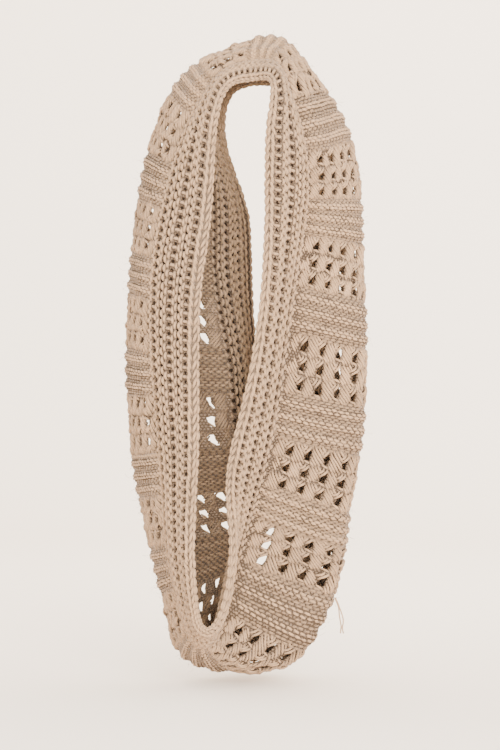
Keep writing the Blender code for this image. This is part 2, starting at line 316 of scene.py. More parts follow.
def along_cloth(points: np.ndarray, count: int) -> np.ndarray:
    """The same line at even steps.

    Args:
        points: a line of points.
        count: how many points to return.

    Returns:
        Points on the line, at even steps along it.
    """
    length = run_along(points)
    even = np.linspace(0.0, length[-1], count)
    return np.stack([np.interp(even, length, points[:, axis]) for axis in range(3)], axis=1)


@dataclass
class Cloth:
    """The band's inner face as it hangs, sampled as a grid over the chart."""

    chart: Chart = CHART
    rows_per_repeat: int = 24
    columns: int = 124
    fold_reach: float = 11.0
    gather_wave: float = 58.0
    roll_width: float = 10.0
    roll_spread: float = 0.7
    roll_tuck: float = 1.2
    roll_clear: float = 8.0
    fine_steps: int = 81
    centre_steps: int = 45
    border_steps: int = 37
    curves: dict[str, Callable] = field(init=False)
    at: np.ndarray = field(init=False)
    across: np.ndarray = field(init=False)
    points: np.ndarray = field(init=False)
    outward: np.ndarray = field(init=False)

    def __post_init__(self) -> None:
        """Works out the grid of points and outward normals."""
        table = np.array(SECTIONS, dtype=float)
        self.curves = {
            name: closed_spline(table[:, 0], table[:, column], self.chart.repeats)
            for column, name in enumerate(Section._fields)
            if column
        }
        spare = self.chart.spare_repeats
        count = (self.chart.repeats + 2 * spare) * self.rows_per_repeat + 1
        self.at = np.linspace(-spare, self.chart.repeats + spare, count)
        reach = self.chart.half_width + self.chart.spare_width
        self.across = np.linspace(-reach, reach, self.columns)
        self.points = np.array([self.section(at) for at in self.at])
        along = np.gradient(self.points, axis=0)
        over = np.gradient(self.points, axis=1)
        out = np.cross(along, over)
        self.outward = out / np.linalg.norm(out, axis=2)[:, :, None]

    def half_section(self, at: float, edge: Edge) -> np.ndarray:
        """Points, mm, from the centre line to a selvedge.

        Args:
            at: place round the loop, in repeats.
            edge: the selvedge.

        Returns:
            centre_steps points to the seam, then border_steps to the selvedge.
        """
        row = {name: float(curve(at)) for name, curve in self.curves.items()}
        end = edge.name.lower()
        seam_name = "seam" if edge is Edge.FRONT else "back_seam"
        middle, seam, selvedge = (
            np.array([row[f"{name}_{axis}"] for axis in "xyz"]) for name in ("mid", seam_name, end)
        )
        depth = np.array([0.0, float(edge.value), 0.0])

        span = selvedge - middle
        through = span / np.linalg.norm(span)
        centre_chord = np.linalg.norm(seam - middle)
        border_chord = np.linalg.norm(selvedge - seam)
        share = np.linspace(0.0, 1.0, self.fine_steps)
        centre = eased(middle, seam, depth * centre_chord, through * centre_chord, share)
        border = eased(seam, selvedge, through * border_chord, selvedge - seam, share)
        points = np.concatenate([centre, border[1:]])
        lift = self.lift(points, share, row[f"{end}_fold"], row["gather"], row["roll"])

        ahead = np.gradient(points, axis=0)
        ahead /= np.linalg.norm(ahead, axis=1)[:, None]
        flat = np.array([span[0], 0.0, span[2]])
        inward = flat / np.linalg.norm(flat)
        lean_in, lean_out = ahead @ inward, ahead @ depth
        size = np.hypot(lean_in, lean_out)
        points = points + np.outer(-lift * lean_out / size, inward)
        points = points + np.outer(lift * lean_in / size, depth)
        centre = along_cloth(points[: self.fine_steps], self.centre_steps)
        border = along_cloth(points[self.fine_steps - 1 :], self.border_steps)
        return np.concatenate([centre, border[1:]])

    def lift(self, points: np.ndarray, share: np.ndarray, fold: float, gather: float,
             roll: float) -> np.ndarray:
        """How far the cloth stands over the smooth line of a half section.

        Args:
            points: the smooth line, fine_steps points to the seam and as many from it.
            share: shares of the way over each of the two parts.
            fold: depth of the valley at the seam, mm.
            gather: height of the gathers, mm.
            roll: height of the rolled selvedge, mm.

        Returns:
            The height at each point, mm.
        """
        half, seam_at = self.chart.half_width, self.chart.centre_half
        run = np.concatenate([share * seam_at, seam_at + share[1:] * (half - seam_at)])
        length = run_along(points)
        past_seam = (length - length[self.fine_steps - 1]) / self.fold_reach
        valley = fold * np.exp(-(past_seam**2))
        wave = np.sin(math.pi * run / half) * np.sin(2.0 * math.pi * run / self.gather_wave)
        past_roll = (run - (half - self.roll_width)) / self.roll_width
        tuck = self.roll_tuck * np.clip(past_roll, 0.0, 1.0) ** 2
        curl = np.exp(-((past_roll / self.roll_spread) ** 2)) - tuck
        return gather * wave - valley + roll * curl * (run > seam_at + self.roll_clear)

    def section(self, at: float) -> np.ndarray:
        """Points across the whole band.

        Args:
            at: place round the loop, in repeats.

        Returns:
            One point, mm, for each column of the grid.
        """
        chart = self.chart
        front, back = (self.half_section(at, edge) for edge in Edge)
        half = np.concatenate([
            np.linspace(0.0, chart.centre_half, self.centre_steps),
            np.linspace(chart.centre_half, chart.half_width, self.border_steps)[1:],
            [chart.half_width + chart.spare_width],
        ])
        step = half[-2] - half[-3]
        beyond = [side[-1] + (side[-1] - side[-2]) / step * chart.spare_width for side in (front, back)]
        front, back = np.vstack([front, beyond[0]]), np.vstack([back, beyond[1]])
        line = np.concatenate([front[:0:-1], back])
        scale = np.concatenate([-half[:0:-1], half])
        return np.stack([np.interp(self.across, scale, line[:, axis]) for axis in range(3)], axis=1)

    def place(self, at: np.ndarray, across: np.ndarray, height: np.ndarray) -> np.ndarray:
        """Points over the inner face.

        Args:
            at: places round the loop, in repeats.
            across: places across the band, mm.
            height: heights over the inner face, mm.

        Returns:
            One point for each place, in metres.
        """
        at, across, height = np.broadcast_arrays(*(np.asarray(v, float) for v in (at, across, height)))
        row = (at - self.at[0]) / (self.at[1] - self.at[0])
        column = (across - self.across[0]) / (self.across[1] - self.across[0])
        i = np.clip(row.astype(int), 0, len(self.at) - 2)
        j = np.clip(column.astype(int), 0, len(self.across) - 2)
        a, b = (row - i)[..., None], (column - j)[..., None]

        def blend(grid: np.ndarray) -> np.ndarray:
            """Blends the four grid values round each place.

            Args:
                grid: one vector for each row and column.

            Returns:
                One vector for each place.
            """
            near = grid[i, j] * (1.0 - b) + grid[i, j + 1] * b
            far = grid[i + 1, j] * (1.0 - b) + grid[i + 1, j + 1] * b
            return near * (1.0 - a) + far * a

        out = blend(self.outward)
        out = out / np.linalg.norm(out, axis=-1)[..., None]
        return (blend(self.points) + out * height[..., None]) * MM

    def build_map(self) -> Object:
        """Builds the grid as a mesh that Geometry Nodes sample.

        Returns:
            An object whose mesh has the attributes `chart`, a place as shares of the
            whole grid, and `out`, the outward normal.
        """
        rows, columns = len(self.at), len(self.across)
        index = np.arange(rows * columns).reshape(rows, columns)
        faces = np.stack([index[:-1, :-1], index[1:, :-1], index[1:, 1:], index[:-1, 1:]], axis=-1)
        mesh = bpy.data.meshes.new("cloth_map")
        mesh.from_pydata((self.points.reshape(-1, 3) * MM).tolist(), [], faces.reshape(-1, 4).tolist())
        shares = [(line - line[0]) / (line[-1] - line[0]) for line in (self.at, self.across)]
        along, across = np.meshgrid(*shares, indexing="ij")
        add_attribute(mesh, "chart", np.stack([along, across, 0.0 * along], axis=-1).reshape(-1, 3))
        add_attribute(mesh, "out", self.outward.reshape(-1, 3))
        return linked("cloth_map", mesh)

    def limits(self) -> list[tuple[float, float]]:
        """The grid's ends on the chart, mm, first along and then across."""
        along = self.at * self.chart.repeat_length
        return [(line[0], line[-1]) for line in (along, self.across)]


# ---- node trees ----


class Wiring:
    """Adds and links nodes of one node tree."""

    def __init__(self, tree: NodeTree) -> None:
        """Keeps the tree to work on."""
        self.tree = tree
        self.nodes = tree.nodes

    def add(self, kind: str, inputs: dict | None = None, **settings: object) -> Node:
        """Adds a node.

        Args:
            kind: the node's type.
            inputs: for each input's name or place, a value or the output to link to it.
            settings: the node's own settings.

        Returns:
            The node.
        """
        node = self.nodes.new(kind)
        for name, value in settings.items():
            setattr(node, name, value)
        for name, value in (inputs or {}).items():
            socket = self.socket(node, name)
            if isinstance(value, NodeSocket):
                self.link(value, socket)
            elif value is not None:
                socket.default_value = value
        return node

    @staticmethod
    def socket(node: Node, name: str | int) -> NodeSocket:
        """Finds an input that the node's settings leave in use.

        Args:
            node: the node.
            name: the input's name, or its place in the list of inputs.

        Returns:
            The input.
        """
        if isinstance(name, int):
            return node.inputs[name]
        return next(s for s in node.inputs if s.name == name and not s.is_unavailable)

    @staticmethod
    def result(node: Node) -> NodeSocket:
        """The first output that the node's settings leave in use."""
        return next(s for s in node.outputs if not s.is_unavailable)

    def link(self, output: NodeSocket, socket: NodeSocket) -> None:
        """Links an output to an input."""
        self.tree.links.new(output, socket)

    def math(self, operation: str, first: object, second: object = None) -> NodeSocket:
        """A Math node on one or two outputs or numbers; returns its result."""
        return self.result(self.add("ShaderNodeMath", {0: first, 1: second}, operation=operation))

    def product(self, *factors: object) -> NodeSocket:
        """The product of two or more outputs or numbers."""
        return reduce(lambda first, second: self.math("MULTIPLY", first, second), factors)

    def vector(self, operation: str, first: object, second: object) -> NodeSocket:
        """A Vector Math node on two vectors, or on a vector and the number that scales it."""
        inputs = {0: first, "Scale" if operation == "SCALE" else 1: second}
        return self.result(self.add("ShaderNodeVectorMath", inputs, operation=operation))

    def ranged(self, value: object, given: Sequence[float] = (0.0, 1.0),
               wanted: Sequence[float] = (0.0, 1.0), clamp: bool = True) -> NodeSocket:
        """Maps one range of numbers onto another.

        Args:
            value: the output to map.
            given: the two ends of its range.
            wanted: the two ends of the range to map it to.
            clamp: whether what lies past an end stays at that end.

        Returns:
            The mapped value.
        """
        node = self.add("ShaderNodeMapRange", {
            "Value": value, "From Min": given[0], "From Max": given[1],
            "To Min": wanted[0], "To Max": wanted[1],
        }, clamp=clamp)
        return self.result(node)

    def noise(self, place: NodeSocket, scale: float, detail: float = 2.0, roughness: float = 0.5) -> Node:
        """A Noise Texture node.

        Args:
            place: where the noise is read.
            scale: how fine it is.
            detail: how many finer layers it has.
            roughness: how strong the finer layers are.

        Returns:
            The node.
        """
        return self.add("ShaderNodeTexNoise", {
            "Vector": place, "Scale": scale, "Detail": detail, "Roughness": roughness})

    def off_middle(self, noise: Node) -> NodeSocket:
        """The colour of a noise as a vector round nought."""
        return self.vector("SUBTRACT", noise.outputs["Color"], (0.5, 0.5, 0.5))

    def split(self, vector: NodeSocket) -> bpy.types.bpy_prop_collection:
        """The X, Y and Z of a vector."""
        return self.add("ShaderNodeSeparateXYZ", {0: vector}).outputs

    def painted(self, name: str, output: str = "Fac") -> NodeSocket:
        """An attribute of the mesh, as a material reads it."""
        return self.add("ShaderNodeAttribute", attribute_name=name).outputs[output]

    def named(self, name: str, data_type: str = "FLOAT") -> NodeSocket:
        """An attribute of the mesh, as Geometry Nodes read it."""
        return self.result(self.add("GeometryNodeInputNamedAttribute", {"Name": name}, data_type=data_type))

    def stored(self, geometry: NodeSocket, name: str, value: NodeSocket,
               data_type: str = "FLOAT") -> NodeSocket:
        """Stores an attribute.

        Args:
            geometry: what to store it on.
            name: the attribute's name.
            value: its value at each point.
            data_type: its type.

        Returns:
            The geometry with its attribute.
        """
        return self.result(self.add("GeometryNodeStoreNamedAttribute", {
            "Geometry": geometry, "Name": name, "Value": value}, data_type=data_type, domain="POINT"))


class NodeSetup:
    """A Geometry Nodes tree with named inputs, applied once to an object."""

    def __init__(self, name: str, inputs: dict[str, tuple[str, object]]) -> None:
        """Makes the tree.

        Args:
            name: the tree's name.
            inputs: for each input's name, its socket type and its value.
        """
        self.tree = bpy.data.node_groups.new(name, "GeometryNodeTree")
        self.values = {name: value for name, (_, value) in inputs.items()}
        face = self.tree.interface
        face.new_socket("Geometry", in_out="INPUT", socket_type="NodeSocketGeometry")
        for label, (kind, _) in inputs.items():
            face.new_socket(label, in_out="INPUT", socket_type=kind)
        face.new_socket("Geometry", in_out="OUTPUT", socket_type="NodeSocketGeometry")
        self.wiring = Wiring(self.tree)
        self.source = self.wiring.add("NodeGroupInput").outputs

    def finish(self, geometry: NodeSocket, material: NodeSocket) -> None:
        """Ends the tree in Realize Instances and Set Material.

        Args:
            geometry: what the tree has made.
            material: the input that gives its material.
        """
        wiring = self.wiring
        real = wiring.add("GeometryNodeRealizeInstances", {"Geometry": geometry})
        done = wiring.add("GeometryNodeSetMaterial", {"Geometry": real.outputs[0], "Material": material})
        wiring.link(done.outputs[0], wiring.add("NodeGroupOutput").inputs[0])

    def apply(self, name: str, mesh: Mesh) -> Object:
        """Runs the tree on a mesh.

        Args:
            name: the new piece's name.
            mesh: what the tree works on.

        Returns:
            A plain mesh object at the origin.
        """
        item = linked(name + "_source", mesh)
        modifier = item.modifiers.new("nodes", "NODES")
        modifier.node_group = self.tree
        for socket in self.tree.interface.items_tree:
            if socket.in_out == "INPUT" and socket.name in self.values:
                modifier[socket.identifier] = self.values[socket.name]
        return plain_copy(item, name)


# ---- finishes ----


@dataclass(frozen=True)
class MattFinish:
    """A matt surface of one colour, and the ground of the other finishes."""

    name: str
    color: tuple[float, float, float]
    roughness: float = 0.95
    specular: float = 0.1

    def shader(self) -> tuple[Material, Wiring, bpy.types.NodeInputs]:
        """Starts a material.

        Returns:
            The material, the wiring of its tree and the inputs of its shader.
        """
        material = bpy.data.materials.new(self.name)
        material.use_nodes = True
        tree = Wiring(material.node_tree)
        surface = tree.nodes["Principled BSDF"].inputs
        surface["Base Color"].default_value = (*self.color, 1.0)
        surface["Roughness"].default_value = self.roughness
        surface["Specular IOR Level"].default_value = self.specular
        return material, tree, surface

    def build(self) -> Material:
        """Builds the material."""
        return self.shader()[0]


@dataclass(frozen=True)
class WoolFinish(MattFinish):
    """Wool whose colour darkens towards a painted shade colour in its gaps and varies a little from fibre
    to fibre.
    """

    # The colour that painted shade mixes towards.
    painted_shade_color: tuple[float, float, float] = (0.0, 0.0, 0.0)
    fibre_scale: float = 900.0
    fibre_detail: float = 3.0
    fibre_roughness: float = 0.65
    fleck_noise: tuple[float, float] = (0.3, 0.7)
    fleck_tones: tuple[float, float] = (0.90, 1.07)

    def fibres(self, tree: Wiring, place: NodeSocket) -> NodeSocket:
        """Fine noise that stands for the fibres."""
        return tree.noise(place, self.fibre_scale, self.fibre_detail, self.fibre_roughness).outputs["Fac"]

    def paint(self, tree: Wiring, surface: bpy.types.NodeInputs, share: NodeSocket,
              *tones: NodeSocket) -> None:
        """Colours the surface.

        Args:
            tree: the material's wiring.
            surface: the inputs of its shader.
            share: 0 for the painted shade colour of the gaps and 1 for the wool's own.
            tones: what the colour is multiplied by.
        """
        base = tree.add("ShaderNodeMix", {
            "Factor": share, "A": (*self.painted_shade_color, 1.0), "B": (*self.color, 1.0),
        }, data_type="RGBA").outputs["Result"]
        tree.link(tree.vector("SCALE", base, tree.product(*tones)), surface["Base Color"])

    def roughen(self, tree: Wiring, surface: bpy.types.NodeInputs, height: NodeSocket,
                strength: float, depth: float) -> None:
        """Gives the surface its fine relief.

        Args:
            tree: the material's wiring.
            surface: the inputs of its shader.
            height: the relief.
            strength: how much of it shows.
            depth: how deep it is, mm.
        """
        bump = tree.add("ShaderNodeBump", {"Strength": strength, "Distance": depth * MM, "Height": height})
        tree.link(bump.outputs["Normal"], surface["Normal"])


@dataclass(frozen=True)
class YarnFinish(WoolFinish):
    """Matt plied wool in its own colour on top of a stitch, with painted shade where it dips and in the
    grooves between its plies.
    """

    roughness: float = 0.9
    specular: float = 0.25
    sheen: float = 0.12
    sheen_roughness: float = 0.5
    twist: float = 9.0
    plies: int = 3
    relief: float = 0.25
    relief_strength: float = 0.7
    ply_relief: float = 0.5
    fibre_relief: float = 1.3
    # Painted shade in the grooves between the plies.
    groove_depths: tuple[float, float] = (-1.0, -0.2)
    groove_painted_shade: tuple[float, float] = (0.86, 1.0)
    patch_scale: float = 22.0
    patch_tones: tuple[float, float] = (0.94, 1.05)

    def build(self) -> Material:
        """Builds the material.

        Returns:
            A material that reads the yarn's `around`, `run`, `level`, which sets the painted shade where
            the yarn dips, and `shade`, which scales its colour by painted light and shade and by random
            tone.
        """
        material, tree, surface = self.shader()
        surface["Sheen Weight"].default_value = self.sheen
        surface["Sheen Roughness"].default_value = self.sheen_roughness

        side = tree.split(tree.painted("around", "Vector"))
        turn = tree.math("ARCTAN2", side["Y"], side["X"])
        wound = tree.product(tree.painted("run"), 2.0 * math.pi * self.plies / self.twist)
        ply = tree.math("SINE", tree.math("ADD", tree.product(turn, self.plies), wound))

        place = tree.add("ShaderNodeTexCoord").outputs["Object"]
        fibres = self.fibres(tree, place)
        patches = tree.noise(place, self.patch_scale).outputs["Fac"]
        relief = tree.math("ADD", tree.product(ply, self.ply_relief),
                           tree.product(fibres, self.fibre_relief))
        self.roughen(tree, surface, relief, self.relief_strength, self.relief)

        # Painted shade towards the strands' ends as `level` falls and in the ply grooves; `shade` brings
        # the welts' painted light and shade.
        self.paint(
            tree, surface, tree.ranged(tree.painted("level")),
            tree.ranged(ply, self.groove_depths, self.groove_painted_shade),
            tree.ranged(patches, self.fleck_noise, self.patch_tones),
            tree.ranged(fibres, self.fleck_noise, self.fleck_tones),
            tree.painted("shade"),
        )
        return material


@dataclass(frozen=True)
class GroundFinish(WoolFinish):
    """The knit behind the stitches: rows of small bumps, with painted shade in the gaps between them and in
    the rib holes of the borders.

    The centre shows the painted shade of its gaps most, its outer side has darker painted shade than its
    inner one, and the selvedges are plain.
    """

    chart: Chart = CHART
    roughness: float = 1.0
    fibre_roughness: float = 0.7
    fleck_tones: tuple[float, float] = (0.8, 1.15)
    row_pitch: float = 2.9
    bump_pitch: float = 3.25
    bump_edge: tuple[float, float] = (0.25, 0.08)
    bump_relief: float = 1.6
    relief: float = 0.7
    stray: float = 1.6
    stray_scale: float = 330.0
    # Painted shade over the whole shell but the inner side of the centre.
    outer_painted_shade: float = 0.55
    # The least share of the wool's own colour against the painted shade of gaps and holes, on each side and
    # in the borders.
    inner_least: float = 0.5
    outer_least: float = 0.42
    border_least: float = 0.55
    hole_edge: tuple[float, float] = (0.045, 0.02)
    seam_hole_edge: tuple[float, float] = (0.05, 0.025)
    seam_reach: float = 2.6
    selvedge_reach: float = 9.0

    def build(self) -> Material:
        """Builds the material.

        Returns:
            A material that reads the shell's `chart`, mm, and `side`, 1 outside and -1 inside.
        """
        material, tree, surface = self.shader()
        place = tree.add("ShaderNodeTexCoord").outputs["Object"]
        side = tree.painted("side")
        stray = tree.vector("SCALE", tree.off_middle(tree.noise(place, self.stray_scale)), self.stray)
        spot = tree.split(tree.vector("ADD", tree.painted("chart", "Vector"), stray))
        past_seam = tree.math("SUBTRACT", tree.math("ABSOLUTE", spot["Y"]), self.chart.centre_half)
        border = tree.math("GREATER_THAN", past_seam, 0.0)
        centre = tree.math("SUBTRACT", 1.0, border)
        selvedge = tree.math("GREATER_THAN", past_seam, self.chart.border_width - self.selvedge_reach)

        holes = self.holes(tree, spot["X"], past_seam, tree.math("MAXIMUM", centre, selvedge))
        cells = self.bricks(tree, tree.math("DIVIDE", spot["X"], self.row_pitch),
                            tree.math("DIVIDE", spot["Y"], self.bump_pitch))
        bumps = tree.ranged(cells, self.bump_edge)
        fibres = self.fibres(tree, place)
        relief = tree.math("ADD", tree.product(bumps, self.bump_relief), fibres)
        self.roughen(tree, surface, relief, 1.0, self.relief)

        # Painted shade: between the bumps and in the holes the colour mixes towards the painted shade
        # colour, no further than the least share allows.
        least = tree.ranged(side, (-1.0, 1.0), (self.inner_least, self.outer_least))
        for other in (selvedge, tree.product(border, self.border_least), bumps):
            least = tree.math("MAXIMUM", least, other)
        inner_centre = tree.product(tree.math("LESS_THAN", side, 0.0), centre)
        self.paint(
            tree, surface, tree.product(least, tree.math("SUBTRACT", 1.0, holes)),
            tree.ranged(fibres, self.fleck_noise, self.fleck_tones),
            tree.ranged(inner_centre, wanted=(self.outer_painted_shade, 1.0)),
        )
        return material

    def holes(self, tree: Wiring, along: NodeSocket, past_seam: NodeSocket,
              plain: NodeSocket) -> NodeSocket:
        """The holes of the ribs and of the seams beside them.

        Args:
            tree: the material's wiring.
            along: place on the chart, mm.
            past_seam: how far past the seam, mm.
            plain: 1 where the ribs have no holes.

        Returns:
            1 where a hole's painted shade lies and 0 elsewhere.
        """
        course = tree.math("DIVIDE", along, self.chart.repeat_length / self.chart.courses)
        column = tree.math("DIVIDE", past_seam, self.chart.rib_pitch / 2.0)
        dots = tree.ranged(self.bricks(tree, column, course), self.hole_edge)
        ribs = tree.product(dots, tree.math("SUBTRACT", 1.0, plain))
        cells = self.bricks(tree, tree.math("ADD", column, 0.5), tree.math("ADD", course, 0.5))
        near = tree.math("LESS_THAN", tree.math("ABSOLUTE", past_seam), self.seam_reach)
        return tree.math("MAXIMUM", ribs, tree.product(tree.ranged(cells, self.seam_hole_edge), near))

    def bricks(self, tree: Wiring, rows: NodeSocket, columns: NodeSocket) -> NodeSocket:
        """Spots laid like bricks, odd rows half a brick off.

        Args:
            tree: the material's wiring.
            rows: place over the rows, in rows.
            columns: place along a row, in bricks.

        Returns:
            The squared distance to the middle of the nearest brick.
        """
        shift = tree.product(tree.math("FLOORED_MODULO", tree.math("FLOOR", rows), 2.0), 0.5)
        shares = [tree.math("FRACT", value) for value in (rows, tree.math("ADD", columns, shift))]
        offsets = [tree.math("SUBTRACT", share, 0.5) for share in shares]
        return tree.math("ADD", *(tree.product(value, value) for value in offsets))


# ---- stitches ----


@dataclass
class StitchLines:
    """Lines of one stitch in chart mm: x along, y across and z out."""

    end_thick: float = 0.62
    arch_power: float = 0.7
    points: list[tuple] = field(default_factory=list)
    edges: list[tuple[int, int]] = field(default_factory=list)
    thick: list[float] = field(default_factory=list)
    # Painted shade: a level of 1 gives the yarn's own colour, less mixes in the painted shade colour.
    level: list[float] = field(default_factory=list)

    def strand(self, start: Sequence[float], first: Sequence[float], last: Sequence[float],
               end: Sequence[float], steps: int = 6, width: float = 1.0, low: float = 0.45) -> None:
        """Adds one strand along a Bezier curve, thinner at its ends and with painted shade there, where it
        dips.

        Args:
            start: where it starts.
            first: the curve's control point after the start.
            last: the curve's control point before the end.
            end: where it ends.
            steps: straight lines that it is made of.
            width: thickness of its middle, as a share of the yarn.
            low: level of its ends, where the colour mixes towards the painted shade colour; its middle has
                1.
        """
        share = np.linspace(0.0, 1.0, steps + 1)
        t = share[:, None]
        start, first, last, end = (np.array(place, float) for place in (start, first, last, end))
        line = (1 - t) ** 3 * start + 3 * t * (1 - t) ** 2 * first + 3 * t * t * (1 - t) * last + t**3 * end
        arch = np.sin(math.pi * share) ** self.arch_power
        begin = len(self.points)
        self.points += [tuple(point) for point in line.tolist()]
        self.edges += [(begin + i, begin + i + 1) for i in range(steps)]
        self.thick += (width * (self.end_thick + (1.0 - self.end_thick) * arch)).tolist()
        # Painted shade that deepens towards the strand's ends.
        self.level += (low + (1.0 - low) * arch).tolist()

    def pair(self, *places: Sequence[float], **settings: float) -> None:
        """Adds a strand and its mirror image across the stitch's middle."""
        for side in (-1.0, 1.0):
            self.strand(*[(along, side * across, out) for along, across, out in places], **settings)

    def build(self, name: str) -> Object:
        """Builds the lines as an object that Geometry Nodes repeat.

        Args:
            name: the object's name.

        Returns:
            The object, which isn't in the scene.
        """
        mesh = bpy.data.meshes.new(name)
        mesh.from_pydata(self.points, self.edges, [])
        add_attribute(mesh, "thick", np.array(self.thick))
        add_attribute(mesh, "level", np.array(self.level))
        return bpy.data.objects.new(name, mesh)


@dataclass
class Places:
    """Where stitches lie on the chart, with the kind, turn, size and shade of each."""

    chart: Chart
    seed: int = 5
    jitter: float = 0.04
    stray: tuple[float, float, float] = (0.22, 0.22, 0.11)
    spots: list[tuple] = field(default_factory=list)
    kinds: list[int] = field(default_factory=list)
    turns: list[tuple] = field(default_factory=list)
    sizes: list[tuple] = field(default_factory=list)
    shades: list[float] = field(default_factory=list)

    def add(self, at: float, across: float, height: float, kind: int = 0, tilt: float = 0.0,
            spin: float = 0.0, size: Sequence[float] = (1.0, 1.0, 1.0), shade: float = 1.0) -> None:
        """Adds one stitch.

        Args:
            at: place round the loop, in repeats.
            across: place across the band, mm.
            height: over the inner face, mm.
            kind: which stitch lies here.
            tilt: turn about the across direction, radians.
            spin: turn about the outward direction, radians.
            size: scale of the stitch along, across and out.
            shade: how light the yarn is here; above 1 is painted light and below 1 painted shade.
        """
        self.spots.append((at * self.chart.repeat_length, across, height))
        self.kinds.append(kind)
        self.turns.append((0.0, tilt, spin))
        self.sizes.append(tuple(size))
        self.shades.append(shade)

    def mesh(self, name: str) -> Mesh:
        """Builds the places, each a little off the rule.

        Args:
            name: name of the piece that they are for.

        Returns:
            A mesh of loose points with attributes.
        """
        random = np.random.default_rng(self.seed)
        count = len(self.spots)
        mesh = bpy.data.meshes.new(name + "_places")
        spots = np.array(self.spots) + random.normal(0.0, 1.0, (count, 3)) * self.stray
        mesh.from_pydata(spots.tolist(), [], [])
        add_attribute(mesh, "turn", np.array(self.turns) + random.normal(0.0, self.jitter, (count, 3)))
        add_attribute(mesh, "size", np.array(self.sizes) * random.normal(1.0, self.jitter, (count, 1)))
        add_attribute(mesh, "shade", np.array(self.shades) * random.normal(1.0, self.jitter, count))
        kind = mesh.attributes.new("kind", "INT", "POINT")
        kind.data.foreach_set("value", np.array(self.kinds, dtype=np.int32))
        return mesh


